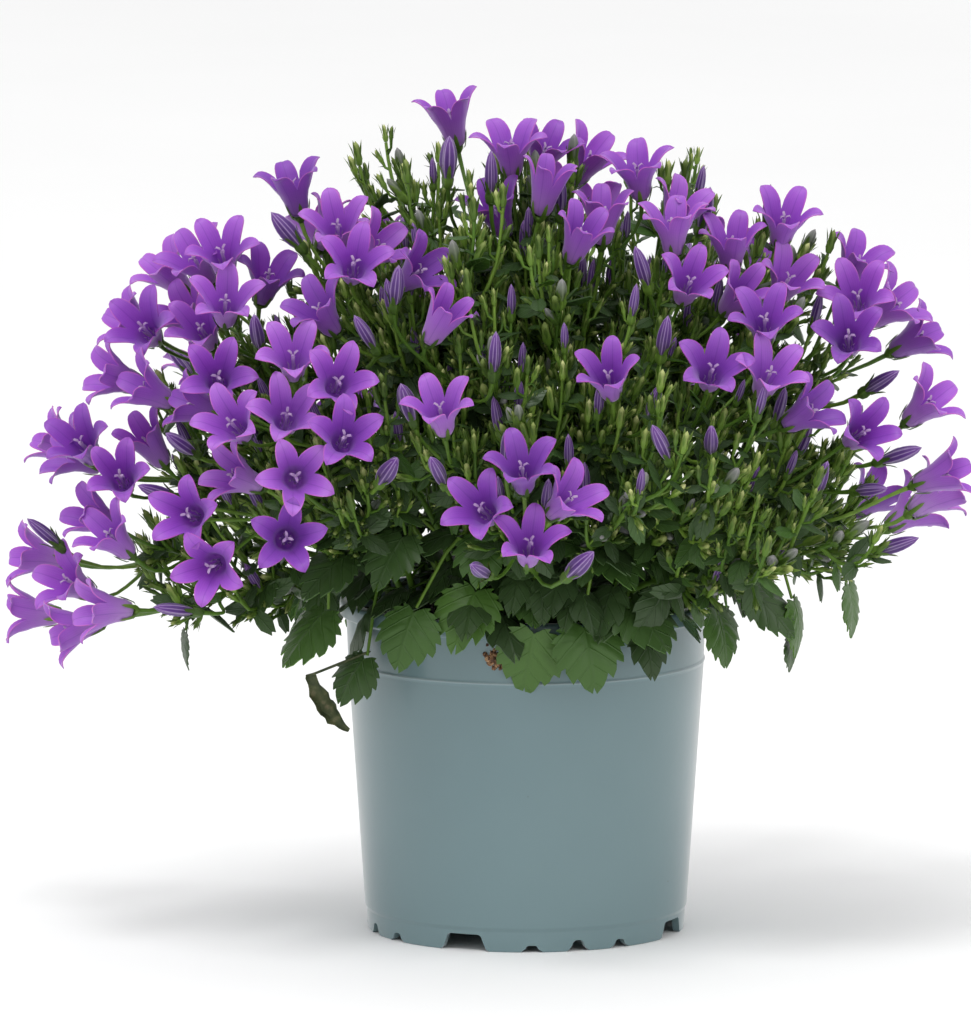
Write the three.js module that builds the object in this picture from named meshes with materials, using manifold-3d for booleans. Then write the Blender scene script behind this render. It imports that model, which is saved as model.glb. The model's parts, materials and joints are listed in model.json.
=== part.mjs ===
// A potted bellflower: a moulded nursery pot filled with peat, leafy stems that arch out of it in a dome,
// and violet bell blooms at their ends. Millimetres, +Z up. The origin is the centre of the plane that the
// pot rests on, and the side that the blooms were read from faces -Y.

import * as THREE from 'three';
import { mergeVertices } from 'three/addons/utils/BufferGeometryUtils.js';
import Module from 'manifold-3d';

const wasm = await Module();
wasm.setup();

// Driving dimensions of the pot
const potHeight = 77;
const rimRadius = 43;
const footRadius = 36.6;
const lipRadius = 41.5;
const wallThickness = 1.2;
const lipHeight = 3.8;
const footHeight = 4.7;
const floorHeight = 4.2;
const beadBelowLip = 10.3;
const potSides = 30;

// Driving dimensions of the plant
const dome = { across: 116, deep: 92, tall: 115, base: 75 };
const heart = new THREE.Vector3(0, 0, 92);
const bloomLength = 10;
const largeBudLength = 12;
const soilTop = 75;
const rootDepth = 7;
const stemRadius = 0.8;
const pedicelRadius = 0.55;
const gap = 0.3;

const degrees = Math.PI / 180;
const up = new THREE.Vector3(0, 0, 1);

// Solids: closed triangle meshes that can be joined and cut
function solidOf(geometry) {
  const bare = geometry.clone();
  bare.deleteAttribute('normal');
  bare.deleteAttribute('uv');
  const merged = mergeVertices(bare, 1e-4);
  return new wasm.Manifold(new wasm.Mesh({
    numProp: 3,
    vertProperties: new Float32Array(merged.attributes.position.array),
    triVerts: new Uint32Array(merged.index.array),
  }));
}

function solidOfFaces(points, faces) {
  const geometry = new THREE.BufferGeometry();
  geometry.setAttribute('position', new THREE.Float32BufferAttribute(points.flatMap((p) => p.toArray()), 3));
  geometry.setIndex(faces.flat());
  return solidOf(geometry);
}

function joined(solids) {
  let layer = solids;
  while (layer.length > 1) {
    const next = [];
    for (let i = 0; i < layer.length; i += 2) {
      next.push(i + 1 < layer.length ? layer[i].add(layer[i + 1]) : layer[i]);
    }
    layer = next;
  }
  return layer[0];
}

function meshOf(name, solid, material) {
  const shape = solid.getMesh();
  const geometry = new THREE.BufferGeometry();
  geometry.setAttribute('position', new THREE.BufferAttribute(new Float32Array(shape.vertProperties), 3));
  geometry.setIndex(new THREE.BufferAttribute(new Uint32Array(shape.triVerts), 1));
  geometry.computeVertexNormals();
  const mesh = new THREE.Mesh(geometry, material);
  mesh.name = name;
  return mesh;
}

// A fixed run of random numbers, the same on every run
let seed = 20;
function chance(low = 0, high = 1) {
  seed = (seed * 16807) % 2147483647;
  return low + (high - low) * (seed / 2147483647);
}

// The pot: one thin moulded wall with a rolled lip, a fine bead, a stepped foot with notches for drainage,
// and a raised floor with a round pad at its centre
function lathe(profile, sides) {
  const closed = [...profile, profile[0]].map(([r, z]) => new THREE.Vector2(r, z));
  const geometry = new THREE.LatheGeometry(closed, sides);
  geometry.rotateX(Math.PI / 2);
  return solidOf(geometry);
}

const beadHeight = potHeight - lipHeight - beadBelowLip;
const padRadius = 8;
const floorTop = floorHeight + 1.6;
const notchAngle = 67;

function potSolid() {
  const innerFoot = footRadius - 1.6;
  const shell = lathe([
    [footRadius, 0],
    [footRadius + 0.2, footHeight],
    [footRadius + 0.6, footHeight + 0.3],
    [lipRadius - 0.4, beadHeight - 0.6],
    [lipRadius + 0.1, beadHeight],
    [lipRadius - 0.3, beadHeight + 0.6],
    [lipRadius, potHeight - lipHeight],
    [rimRadius, potHeight - lipHeight + 0.2],
    [rimRadius, potHeight - 0.7],
    [rimRadius - 0.7, potHeight],
    [lipRadius - wallThickness, potHeight],
    [innerFoot, floorTop],
    [0, floorTop],
    [0, 0],
    [padRadius, 0],
    [padRadius + 0.8, floorHeight],
    [innerFoot, floorHeight],
    [innerFoot, 0],
  ], potSides);
  const notches = [];
  for (let quarter = 0; quarter < 4; quarter += 1) {
    const start = notchAngle + 90 * quarter;
    notches.push(notch(start, 10, 3.9), notch(start + 25, 3.2, 1.6));
    notches.push(notch(start + 42, 3.6, 2.6), notch(start + 59, 3.2, 2.0));
  }
  return shell.subtract(joined(notches));
}

function notch(angle, width, height) {
  const depth = 6;
  const shape = new THREE.Shape();
  shape.moveTo(-width / 2, -1);
  shape.lineTo(width / 2, -1);
  shape.lineTo(width / 2 - 0.2 * height, height);
  shape.lineTo(-width / 2 + 0.2 * height, height);
  shape.closePath();
  const block = new THREE.ExtrudeGeometry(shape, { depth, bevelEnabled: false });
  block.rotateX(Math.PI / 2);
  block.translate(0, depth / 2 - footRadius, 0);
  block.rotateZ(angle * degrees);
  return solidOf(block);
}

// The peat: a low mound with its edge just inside the wall, and a plain hole for each clump of stems, wider
// for each stem more
const holeRadius = 2.9;
const holeGrowth = 1.1;
const holeLength = rootDepth + 8;

function soilSolid(roots, stemCounts) {
  const edge = lipRadius - wallThickness - gap;
  const taper = (lipRadius - footRadius) / potHeight;
  const bottom = floorTop + gap;
  const mound = lathe([
    [footRadius - 1.6 - gap - 0.3, bottom],
    [edge - taper * 6 - 0.4, soilTop - 4],
    [edge * 0.75, soilTop - 1.4],
    [edge * 0.4, soilTop - 0.2],
    [0, soilTop],
    [0, bottom],
  ], 16);
  const holes = roots.map((root, i) => {
    const radius = holeRadius + (stemCounts[i] - 1) * holeGrowth;
    const hole = new THREE.CylinderGeometry(radius, radius, holeLength, 6);
    hole.rotateX(Math.PI / 2);
    hole.translate(root.x, root.y, root.z - gap + holeLength / 2);
    return solidOf(hole);
  });
  return mound.subtract(joined(holes));
}

// What was read from the view: distance across from the pot's axis and height in the picture, both in mm
// against a rule beside the pot, then where the bloom faces (degrees to the right, degrees up), how far it
// is open (0 is a closed bud), and how much deeper it lies than the dome's near surface
const viewTilt = 8.3 * degrees;
const clumps = [
  { name: 'stems_peak', heads: [
    [[-18, 189, -60, 75, 0.8, 0], [-14, 177, 10, 80, 0.2, 0], [-9, 172, -40, 60, 0.8, 8]],
    [[-4, 180, -10, 72, 1, 0], [3, 172, 60, 75, 0.5, 0], [9, 180, 40, 60, 0.8, 14], [-7, 174, 0, 80, 0, 0]]] },
  { name: 'stems_top_left', heads: [
    [[-51, 170, -55, 75, 0.9, 0], [-56, 161, -80, 50, 0.2, 0], [-46, 166, 60, 60, 0.7, 12]],
    [[-43, 161, -10, 50, 0.9, 6], [-35, 158, 60, 40, 0.9, 8], [-35, 141, -40, 50, 0, 0]]] },
  { name: 'stems_top_right', heads: [
    [[23, 173, -20, 70, 1, 0], [19, 168, 15, 78, 0.7, 4], [13, 179, 60, 55, 0.8, 18],
      [13, 160, 40, 60, 0.6, 0]],
    [[33, 163, -15, 78, 0.9, 0], [40, 165, 55, 60, 0.8, 8], [45, 168, 40, 70, 0.25, 10]],
    [[52, 168, 20, 75, 0, 4], [46, 160, 0, 70, 0.8, 6], [25, 154, -30, 60, 0, 0]]] },
  { name: 'stems_right_shoulder', heads: [
    [[57, 161, 15, 60, 0.9, 0], [60, 154, 35, 48, 0.9, 5]],
    [[38, 149, 20, 42, 0.8, 5], [49, 147, 35, 40, 0.5, 8], [34, 136, 15, 60, 0, 0]]] },
  { name: 'stems_right_far', heads: [
    [[78, 154, 55, 55, 0.9, 0], [75, 145, -5, 42, 1, 0], [86, 144, 70, 35, 1, 0], [73, 134, 0, 35, 1, 0],
      [91, 138, 80, 30, 0.9, 6], [83, 127, 50, 30, 0, 0]]] },
  { name: 'stems_right_low', heads: [
    [[93, 122, 62, 42, 0.9, 0], [89, 109, 60, 20, 0, 0]],
    [[78, 110, 30, 25, 0.8, 0], [67, 109, 20, 50, 0, 0], [80, 104, 40, 10, 0, 0]],
    [[95, 106, 75, 22, 0.7, 0], [86, 91, 60, 20, 0, 0]]] },
  { name: 'stems_right_front', heads: [
    [[54, 139, 0, 50, 1, 0], [44, 128, 10, 40, 1, 0], [54, 128, 25, 48, 1, 0], [63, 120, 65, 30, 0.9, 0],
      [28, 119, -30, 50, 0, 0], [40, 114, 0, 40, 0, 0]]] },
  { name: 'stems_left_crown', heads: [
    [[-67, 154, -10, 52, 1, 0], [-77, 152, -45, 50, 1, 0], [-85, 150, -68, 48, 0.9, 0], [-67, 145, 0, 50, 1, 0],
      [-60, 153, 30, 60, 0.9, 12], [-61, 139, -10, 50, 0, 0]]] },
  { name: 'stems_left_shoulder', heads: [
    [[-91, 142, -75, 32, 0.9, 0], [-85, 136, -25, 32, 1, 0], [-81, 145, -55, 45, 0.9, 8],
      [-76, 139, -20, 40, 0.8, 8]],
    [[-93, 128, -75, 20, 0.9, 0], [-87, 121, -70, 30, 0.8, 5], [-80, 115, -40, 30, 0, 0]]] },
  { name: 'stems_left_inner', heads: [
    [[-37, 147, 5, 38, 1, 0], [-25, 151, 50, 32, 0.9, 6], [-46, 144, -50, 48, 0.9, 2]],
    [[-24, 142, 45, 52, 0.4, 0], [-29, 143, 10, 60, 0, 0], [-11, 137, 10, 70, 0, 0]]] },
  { name: 'stems_left_face', heads: [
    [[-70, 125, 0, 25, 1, 0], [-67, 115, -28, 32, 1, 0], [-84, 118, -85, 20, 0.8, 4]],
    [[-54, 134, 0, 48, 1, 0], [-54, 120, 5, 36, 1, 0], [-42, 129, 10, 27, 1, 0], [-40, 115, 10, 27, 1, 0],
      [-31, 108, 30, 40, 0.2, 8]]] },
  { name: 'stems_left_low', heads: [
    [[-52, 104, 5, 14, 1, 0], [-54, 90, 5, 12, 1, 0]],
    [[-76, 97, -20, 14, 1, 0], [-72, 83, -15, 0, 1, 0], [-69, 107, -60, 25, 0.8, 4],
      [-86, 102, -50, 20, 0, 0]]] },
  { name: 'stems_middle', heads: [
    [[-21, 120, -15, 58, 1, 0], [-27, 123, -30, 60, 0.2, 6], [-18, 105, -20, 40, 0, 0]]] },
  { name: 'stems_middle_right', heads: [
    [[22, 125, -10, 48, 0.8, 0], [29, 121, 20, 50, 0, 2]]] },
  { name: 'stems_front', heads: [
    [[-3, 107, -5, 52, 1, 0], [-12, 99, -22, 28, 1, 0], [0, 90, 5, 46, 1, 0], [11, 99, 48, 36, 1, 0],
      [13, 87, 45, 38, 0.3, 0], [-4, 111, 0, 60, 0, 6], [-11, 86, -20, 20, 0, 0]]] },
  { name: 'stems_far_left', heads: [
    [[-105, 110, -75, 25, 1, 0], [-98, 112, -30, 40, 0.9, 2], [-110, 113, -80, 30, 0.8, 6],
      [-91, 117, -50, 50, 0.5, 8], [-94, 106, -10, 30, 0.8, 4]],
    [[-109, 84, -55, 28, 1, 0], [-116, 84, -80, 15, 0.9, 4], [-100, 98, -70, 30, 0.8, 4],
      [-96, 92, -55, 42, 0.9, 0], [-110, 88, -60, 40, 0, -4]],
    [[-98, 74, -70, 5, 0.8, 0], [-109, 69, -80, -12, 0.9, 0], [-117, 75, -88, 5, 0.8, 4],
      [-83, 74, -60, 10, 0, 0]]] },
];

// Spikes of green buds with no open bloom, by the place of their tips in the same view
const budSpikes = [
  { name: 'buds_left_peak', tips: [[-30, 181, 8], [-25, 166, 0]] },
  { name: 'buds_peak', tips: [[11, 183, 3], [2, 180, -2], [37, 176, 24]] },
  { name: 'buds_right_shoulder', tips: [[67, 162, 4], [64, 146, 2]] },
  { name: 'buds_middle_high', tips: [[-17, 158, 0], [-8, 136, 0], [8, 149, 0]] },
  { name: 'buds_middle_low', tips: [[20, 134, 4], [-2, 121, 0], [27, 105, 0]] },
  { name: 'buds_right_low', tips: [[48, 106, 0], [62, 88, 0], [78, 94, 0]] },
];

// Blooms on the far side, in heads spread by the golden share over the back of the dome
const backClumps = 4;
const backYaw = { first: 118, last: 242 };
const backPitch = { lowest: 6, range: 60 };
const goldenShare = 0.618034;
const backReach = { across: 104, deep: 92, tall: 103.5 };

// Large leaves, read in the same view: distance across, height, distance from the axis towards the viewer,
// size, and how the tip points (degrees from straight down, then degrees out of the picture)
const largeLeaves = [
  [14, 66, 48, 15, 8, 30], [1, 65, 46, 14, -12, 12], [26, 73, 46, 15, 30, 50], [-13, 75, 48, 14, -20, 45],
  [-27, 70, 47, 14, -10, 35], [-39, 60, 34, 12, -25, 30], [1, 77, 40, 10, 5, 60], [-49, 70, 34, 16, -20, 40],
  [-44, 84, 40, 14, -40, 50], [45, 70, 28, 13, 5, 25], [54, 76, 30, 15, 40, 40], [63, 73, 24, 11, 20, 20],
  [61, 65, 20, 8, 10, 10], [75, 76, 22, 12, 8, 15], [-61, 78, 24, 12, -30, 35], [-79, 66, 20, 8, -10, 10],
  [-30, 88, 50, 13, -20, 55], [20, 86, 48, 13, 20, 55], [38, 84, 40, 13, 35, 50], [-10, 88, 50, 12, 0, 60],
];
const backLeaves = 15;

function directionOf(yaw, pitch) {
  const facing = new THREE.Vector3(0, -Math.cos(pitch * degrees), Math.sin(pitch * degrees));
  return facing.applyAxisAngle(up, yaw * degrees);
}

function placeOf(across, height, deeper) {
  const lift = Math.tan(viewTilt);
  const rise = height / Math.cos(viewTilt) - dome.base;
  const a = 1 / dome.deep ** 2 + (lift / dome.tall) ** 2;
  const b = (-2 * rise * lift) / dome.tall ** 2;
  const c = (across / dome.across) ** 2 + (rise / dome.tall) ** 2 - 1;
  const y = (-b - Math.sqrt(Math.max(0, b * b - 4 * a * c))) / (2 * a) + deeper;
  return new THREE.Vector3(across, y, (height - y * Math.sin(viewTilt)) / Math.cos(viewTilt));
}

const openEnough = 0.35;
const isOpen = ({ open }) => open > openEnough;

function bloomAt(mouth, facing, open) {
  return { mouth, facing, open };
}

function seenClump({ name, heads }) {
  return { name, heads: heads.map((rows) => rows.map(([across, height, yaw, pitch, open, deeper]) => (
    bloomAt(placeOf(across, height, deeper), directionOf(yaw, pitch), open)))) };
}

function hiddenClump(index) {
  const heads = [0, 1].map((half) => {
    const turn = index * 2 + half;
    const yaw = backYaw.first + ((backYaw.last - backYaw.first) * turn) / (2 * backClumps - 1);
    const pitch = backPitch.lowest + backPitch.range * ((turn * goldenShare + 0.1) % 1);
    return [-1, 0, 1].map((side) => {
      const out = directionOf(yaw + side * 9 + chance(-2, 2), pitch + chance(-4, 4));
      const { across, deep, tall } = backReach;
      const mouth = new THREE.Vector3(out.x * across, out.y * deep, dome.base + out.z * tall);
      return bloomAt(mouth, out.lerp(up, 0.3).normalize(), side === 1 && half === 1 ? 0 : 1);
    });
  });
  return { name: `stems_back_${index + 1}`, heads };
}

// Blooms that would lie in each other move apart, and each turns one lobe towards its nearest neighbour
const bloomSpacing = 14;
const touching = 15;
const reachOut = 23;

function drawTogether(head) {
  head.forEach((bloom, i) => {
    const others = head.slice(0, i).filter(isOpen);
    if (!isOpen(bloom) || others.length === 0) return;
    const away = (other) => other.mouth.distanceTo(bloom.mouth);
    const nearest = others.sort((a, b) => away(a) - away(b))[0];
    const pull = (away(nearest) - touching) / 2;
    if (pull > 0 && away(nearest) < reachOut) {
      const towards = nearest.mouth.clone().sub(bloom.mouth).normalize();
      bloom.mouth.addScaledVector(towards, pull * 1.6);
      nearest.mouth.addScaledVector(towards, -pull * 0.4);
    }
  });
}

function spreadBlooms(list) {
  for (let round = 0; round < 12; round += 1) {
    for (let i = 0; i < list.length; i += 1) {
      for (let j = 0; j < i; j += 1) {
        const apart = list[i].mouth.clone().sub(list[j].mouth);
        const push = (bloomSpacing - apart.length()) / 2;
        if (push > 0) {
          apart.normalize();
          list[i].mouth.addScaledVector(apart, push);
          list[j].mouth.addScaledVector(apart, -push);
        }
      }
    }
  }
  for (const bloom of list) {
    bloom.base = bloom.mouth.clone().addScaledVector(bloom.facing, -bloomLength);
    const away = (other) => other.mouth.distanceTo(bloom.mouth);
    const nearest = list.filter((other) => other !== bloom).sort((a, b) => away(a) - away(b))[0];
    const near = nearest.mouth.clone().applyMatrix4(axisFrame(bloom.base, bloom.facing).invert());
    bloom.roll = Math.atan2(near.y, near.x) / degrees;
  }
}

// A head is the fork that its blooms branch from, and the way it grows there
const forkBelowMany = 17;
const forkBelowOne = 12;
const spikeTipLength = 7;

function headOf(blooms) {
  const middle = new THREE.Vector3();
  for (const { base } of blooms) middle.addScaledVector(base, 1 / blooms.length);
  const grows = middle.clone().sub(heart).normalize();
  const drop = blooms.length > 1 ? forkBelowMany : forkBelowOne;
  return { blooms, grows, fork: middle.addScaledVector(grows, -drop) };
}

function spikeClump({ name, tips }) {
  return { name, heads: tips.map(([across, height, deeper]) => {
    const tip = placeOf(across, height, deeper);
    const grows = tip.clone().sub(heart).normalize().lerp(up, 0.35).normalize();
    return { blooms: [], grows, fork: tip.addScaledVector(grows, -spikeTipLength) };
  }) };
}

// Roots: each clump stands in the peat under the middle of its heads, drawn in towards the pot's axis, and
// clumps keep a few millimetres apart
const rootSpacing = 10;
const rootLimit = 33;
const rootInset = 3;
const rootShare = 0.42;

function rootsOf(list) {
  const roots = list.map(({ heads }) => {
    const middle = new THREE.Vector3();
    for (const { fork } of heads) middle.addScaledVector(fork, 1 / heads.length);
    const reach = Math.hypot(middle.x, middle.y);
    const radius = Math.min(rootLimit, rootInset + rootShare * reach);
    return new THREE.Vector3((middle.x / reach) * radius, (middle.y / reach) * radius, soilTop - rootDepth);
  });
  for (let round = 0; round < 80; round += 1) {
    for (let i = 0; i < roots.length; i += 1) {
      for (let j = 0; j < i; j += 1) {
        const apart = roots[i].clone().sub(roots[j]);
        const push = (rootSpacing - apart.length()) / 2;
        if (push > 0) {
          apart.normalize();
          roots[i].addScaledVector(apart, push);
          roots[j].addScaledVector(apart, -push);
        }
      }
    }
    for (const root of roots) {
      const inside = Math.min(1, rootLimit / Math.hypot(root.x, root.y));
      root.x *= inside;
      root.y *= inside;
    }
  }
  return roots;
}

// Room: what has been placed, as balls, each with its owner. A new stalk, leaf or bud keeps clear of the
// pot, of the peat, and of every ball of another owner
const balls = [];
const clearance = 0.45;
const step = 1.4;

function addBalls(points, radius, owner) {
  for (const { x, y, z } of points) balls.push({ x, y, z, radius, owner });
}

function roomFromPot({ x, y, z }) {
  const reach = Math.hypot(x, y);
  if (reach < lipRadius - wallThickness) return z - soilTop;
  return Math.hypot(Math.max(0, reach - rimRadius), Math.max(0, z - potHeight)) || -1;
}

function roomFor(points, radius, owner, friend) {
  let room = Infinity;
  for (const point of points) {
    room = Math.min(room, roomFromPot(point) - radius);
    for (const ball of balls) {
      if (ball.owner !== owner && ball.owner !== friend) {
        const away = Math.hypot(ball.x - point.x, ball.y - point.y, ball.z - point.z);
        room = Math.min(room, away - ball.radius - radius);
      }
    }
  }
  return room;
}

function alongPath(points) {
  const dense = [];
  for (let i = 1; i < points.length; i += 1) {
    const count = Math.max(1, Math.ceil(points[i].distanceTo(points[i - 1]) / step));
    for (let k = 0; k < count; k += 1) dense.push(points[i - 1].clone().lerp(points[i], k / count));
  }
  dense.push(points.at(-1));
  return dense;
}

// Stalks: cubic curves, bent sideways or lifted until they are clear
const bends = [
  [0, 0], [3, 0], [-3, 0], [0, 3], [0, -3], [6, 0], [-6, 0], [4, 4], [-4, 4], [9, 0], [-9, 0], [0, 6],
  [6, 6], [-6, 6], [12, 0], [-12, 0], [9, -4], [-9, -4], [14, 6], [-14, 6], [18, 0], [-18, 0],
];

const cornerShare = 1.3;

function stalk({ start, leave, arrive, end, radius, steps, owner, friend, skip = 0, early = 0.6 }) {
  const side = end.clone().sub(start).cross(up);
  if (side.length() < 1) side.set(1, 0, 0);
  side.normalize();
  let best = null;
  for (const [across, lift] of bends) {
    const shift = side.clone().multiplyScalar(across).addScaledVector(up, lift);
    const curve = new THREE.CubicBezierCurve3(
      start, leave.clone().addScaledVector(shift, early), arrive.clone().addScaledVector(shift, 1.2), end);
    const path = alongPath(curve.getSpacedPoints(steps));
    const room = roomFor(path.slice(skip), radius * cornerShare, owner, friend);
    if (!best || room > best.room) best = { curve, path, room, radius, steps, owner };
    if (room >= clearance) break;
  }
  addBalls(best.path, radius * cornerShare, owner);
  return best;
}

const sharpness = 1.4;

function tube({ curve, radius, steps }, sides, fatter = 0) {
  const section = new THREE.Shape();
  const corner = radius * sharpness + fatter;
  for (let i = 0; i < sides; i += 1) {
    const angle = (i / sides) * 2 * Math.PI;
    section[i ? 'lineTo' : 'moveTo'](corner * Math.cos(angle), corner * Math.sin(angle));
  }
  section.closePath();
  return solidOf(new THREE.ExtrudeGeometry(section, { steps, extrudePath: curve, bevelEnabled: false }));
}

// What grows from a stem is drawn in to the nearest point of the straight steps that the stem's tube is made of
function seatOn(point, owner) {
  const spots = stems.filter((stem) => stem.owner === owner).flatMap(({ path }) => path);
  return spots.reduce((best, spot) => (spot.distanceTo(point) < best.distanceTo(point) ? spot : best));
}

// A frame turns a shape's own points to where it grows: z runs along the axis of a bloom or bud
function axisFrame(origin, axis, roll = 0) {
  const turn = new THREE.Quaternion().setFromUnitVectors(up, axis);
  turn.multiply(new THREE.Quaternion().setFromAxisAngle(up, roll * degrees));
  return new THREE.Matrix4().compose(origin, turn, new THREE.Vector3(1, 1, 1));
}

// The bloom: a five-sided bell whose rim opens into five pointed lobes, closed at its base
function petalSizes(open) {
  return {
    notch: [3.4 + 2.4 * open, 9.4 - 0.6 * open],
    tip: [4.2 + 5 * open, 14.6 - 3.2 * open],
    keel: [3.6 + 2.2 * open, 8.2 - 0.8 * open],
  };
}

function polar(radius, angle, z) {
  return new THREE.Vector3(radius * Math.cos(angle * degrees), radius * Math.sin(angle * degrees), z);
}

function bloomSolid({ base, facing, open, roll }, foot = 0.35) {
  const { notch, tip, keel } = petalSizes(open);
  const points = [polar(0, 0, foot), polar(0, 0, 3.6)];
  const faces = [];
  for (let lobe = 0; lobe < 5; lobe += 1) {
    const angle = 72 * lobe;
    points.push(polar(notch[0], angle - 36, notch[1]));
    points.push(polar(tip[0], angle, tip[1]), polar(keel[0], angle, keel[1]));
    const [notchA, end, back] = [2, 3, 4].map((n) => n + 3 * lobe);
    const notchB = 2 + 3 * ((lobe + 1) % 5);
    const ring = [0, notchB, end, notchA];
    ring.forEach((corner, i) => faces.push([back, corner, ring[(i + 1) % ring.length]]));
    faces.push([1, notchA, notchB], [notchA, end, notchB]);
  }
  const place = axisFrame(base, facing, roll);
  return solidOfFaces(points.map((p) => p.applyMatrix4(place)), faces);
}

function bloomBalls({ base, facing, open, roll }) {
  const { tip } = petalSizes(open);
  const place = axisFrame(base, facing, roll);
  const lobes = [0, 1, 2, 3, 4].map((n) => polar(tip[0] * 0.8, 72 * n, tip[1] - 0.8).applyMatrix4(place));
  return [
    [[base.clone().addScaledVector(facing, 2.6)], 1.9], [[base.clone().addScaledVector(facing, 5.5)], 3.0],
    [[base.clone().addScaledVector(facing, 8.5)], 3.0 + 2.0 * open], [lobes, 1.6],
  ];
}

// A flower stalk in one piece with what it carries: rings of three corners along its curve, then the ring of
// the sepals and the seat of the bloom, or the widest ring of a large bud and its tip
const sepals = { height: 2.2, reach: 4 };
const largeBud = { widest: 7, radius: 2, growth: 2.5 };

function flowerStalkSolid({ curve, radius, bloom, owner }, fatter = 0) {
  const { base, facing } = bloom;
  const frames = curve.computeFrenetFrames(2, false);
  const rings = [1, 2].map((n) => [curve.getPointAt(n / 2), radius * sharpness + fatter]);
  rings[1][1] *= isOpen(bloom) ? 1.3 : 1;
  const [height, reach] = isOpen(bloom)
    ? [sepals.height, sepals.reach]
    : [largeBud.widest, largeBud.radius + largeBud.growth * bloom.open];
  rings.push([base.clone().addScaledVector(facing, height), reach + fatter]);
  const points = rings.flatMap(([middle, half], n) => [0, 1, 2].map((corner) => {
    const angle = corner * 120 * degrees;
    const frame = Math.min(n + 1, 2);
    return middle.clone().addScaledVector(frames.normals[frame], half * Math.cos(angle))
      .addScaledVector(frames.binormals[frame], half * Math.sin(angle));
  }));
  const length = isOpen(bloom) ? Math.min(fatter, gap) : largeBudLength + fatter;
  points.push(seatOn(curve.getPointAt(0), owner), base.clone().addScaledVector(facing, length));
  const [foot, seat] = [9, 10];
  const faces = [];
  for (let ring = 0; ring < 2; ring += 1) {
    for (let corner = 0; corner < 3; corner += 1) {
      const [a, b] = [3 * ring + corner, 3 * ring + ((corner + 1) % 3)];
      faces.push([a, b, b + 3], [a, b + 3, a + 3]);
    }
  }
  for (let corner = 0; corner < 3; corner += 1) {
    const next = (corner + 1) % 3;
    faces.push([foot, next, corner], [6 + corner, 6 + next, seat]);
  }
  return solidOfFaces(points, faces);
}

// Buds: spindles that swell towards their tips, with a thin tail sunk into the stem
const budSwell = 0.68;

function budSolid({ base, axis, length, radius, sides, owner }, fatter = 0) {
  const points = [new THREE.Vector3(), new THREE.Vector3(0, 0, length + fatter)];
  const faces = [];
  for (let i = 0; i < sides; i += 1) {
    points.push(polar(radius + fatter * 1.5, (360 * i) / sides, length * budSwell));
    const next = (i + 1) % sides;
    faces.push([0, next + 2, i + 2], [1, i + 2, next + 2]);
  }
  const place = axisFrame(base, axis);
  const corners = points.map((p) => p.applyMatrix4(place));
  corners[0].copy(seatOn(base, owner));
  return solidOfFaces(corners, faces);
}

// Leaves: heart-shaped blades with coarse teeth, cupped, thickest in the middle. The corner between the two
// lobes is drawn out into the stalk, to where the leaf grows from
function leafOutline(teeth) {
  const outline = [];
  const last = 4 * teeth;
  for (let i = 0; i < last; i += 1) {
    const angle = (i * 360) / last;
    const lobe = 0.46 + 0.1 * Math.cos(angle * degrees);
    const radius = lobe * (i % 2 === 0 ? 1.1 : 0.88);
    const across = radius * Math.sin(angle * degrees);
    outline.push([across, 0.45 + radius * Math.cos(angle * degrees)]);
  }
  return outline;
}

const largeOutline = leafOutline(3);
const smallOutline = leafOutline(2);
const bladeHalf = 0.7;

function leafFrame(base, along, face) {
  const across = along.clone().cross(face).normalize();
  const normal = across.clone().cross(along).normalize();
  return new THREE.Matrix4().makeBasis(across, along, normal).setPosition(base);
}

function leafPoint(across, along, size, width) {
  const sag = 0.3 * Math.max(0, along) ** 2 + 0.45 * across ** 2;
  return new THREE.Vector3(across * width * size, along * size, -sag * size);
}

function leafSolid({ from, base, along, face, size, outline, width, owner }, fatter = 0) {
  const half = bladeHalf + fatter;
  const centre = leafPoint(0, 0.45, size, width);
  const points = [centre.clone().setZ(centre.z + half), centre.clone().setZ(centre.z - half)];
  const faces = [];
  outline.forEach(([across, y], i) => {
    points.push(leafPoint(across, y, size, width));
    const next = (i + 1) % outline.length;
    faces.push([0, next + 2, i + 2], [1, i + 2, next + 2]);
  });
  const place = leafFrame(base, along, face);
  const middle = centre.applyMatrix4(place);
  const corners = points.map((p) => middle.clone().lerp(p.applyMatrix4(place), 1 + (2 * fatter) / size));
  corners[2 + outline.length / 2].copy(seatOn(from, owner));
  return solidOfFaces(corners, faces);
}

function leafBalls({ base, along, face, size, outline, width }) {
  const place = leafFrame(base, along, face);
  const spots = outline.flatMap(([x, y]) => [[x, y], [x / 2, (y + 0.45) / 2]]);
  return [...spots, [0, 0.45]].map(([x, y]) => leafPoint(x, y, size, width).applyMatrix4(place));
}

// The whole layout: stems, then what they carry, each piece in the clump that it grows from
const bearing = [...clumps.map(seenClump), ...Array.from({ length: backClumps }, (_, i) => hiddenClump(i))];
const blooms = bearing.flatMap(({ heads }) => heads.flat()).filter(isOpen);
for (const { heads } of bearing) heads.forEach(drawTogether);
spreadBlooms(bearing.flatMap(({ heads }) => heads.flat()));
blooms.forEach((bloom, i) => {
  bloom.owner = 1000 + i;
  for (const [points, radius] of bloomBalls(bloom)) addBalls(points, radius, bloom.owner);
});
const clumpList = [
  ...bearing.map(({ name, heads }) => ({ name, heads: heads.map(headOf) })),
  ...budSpikes.map(spikeClump),
];
const roots = rootsOf(clumpList);

// The stems of a clump stand side by side on its crown, each with its foot a little higher than the last
const stemSpacing = 1.9;
const stagger = 0.4;
const stems = [];
const pedicels = [];
const buds = [];
const leaves = [];

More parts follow.
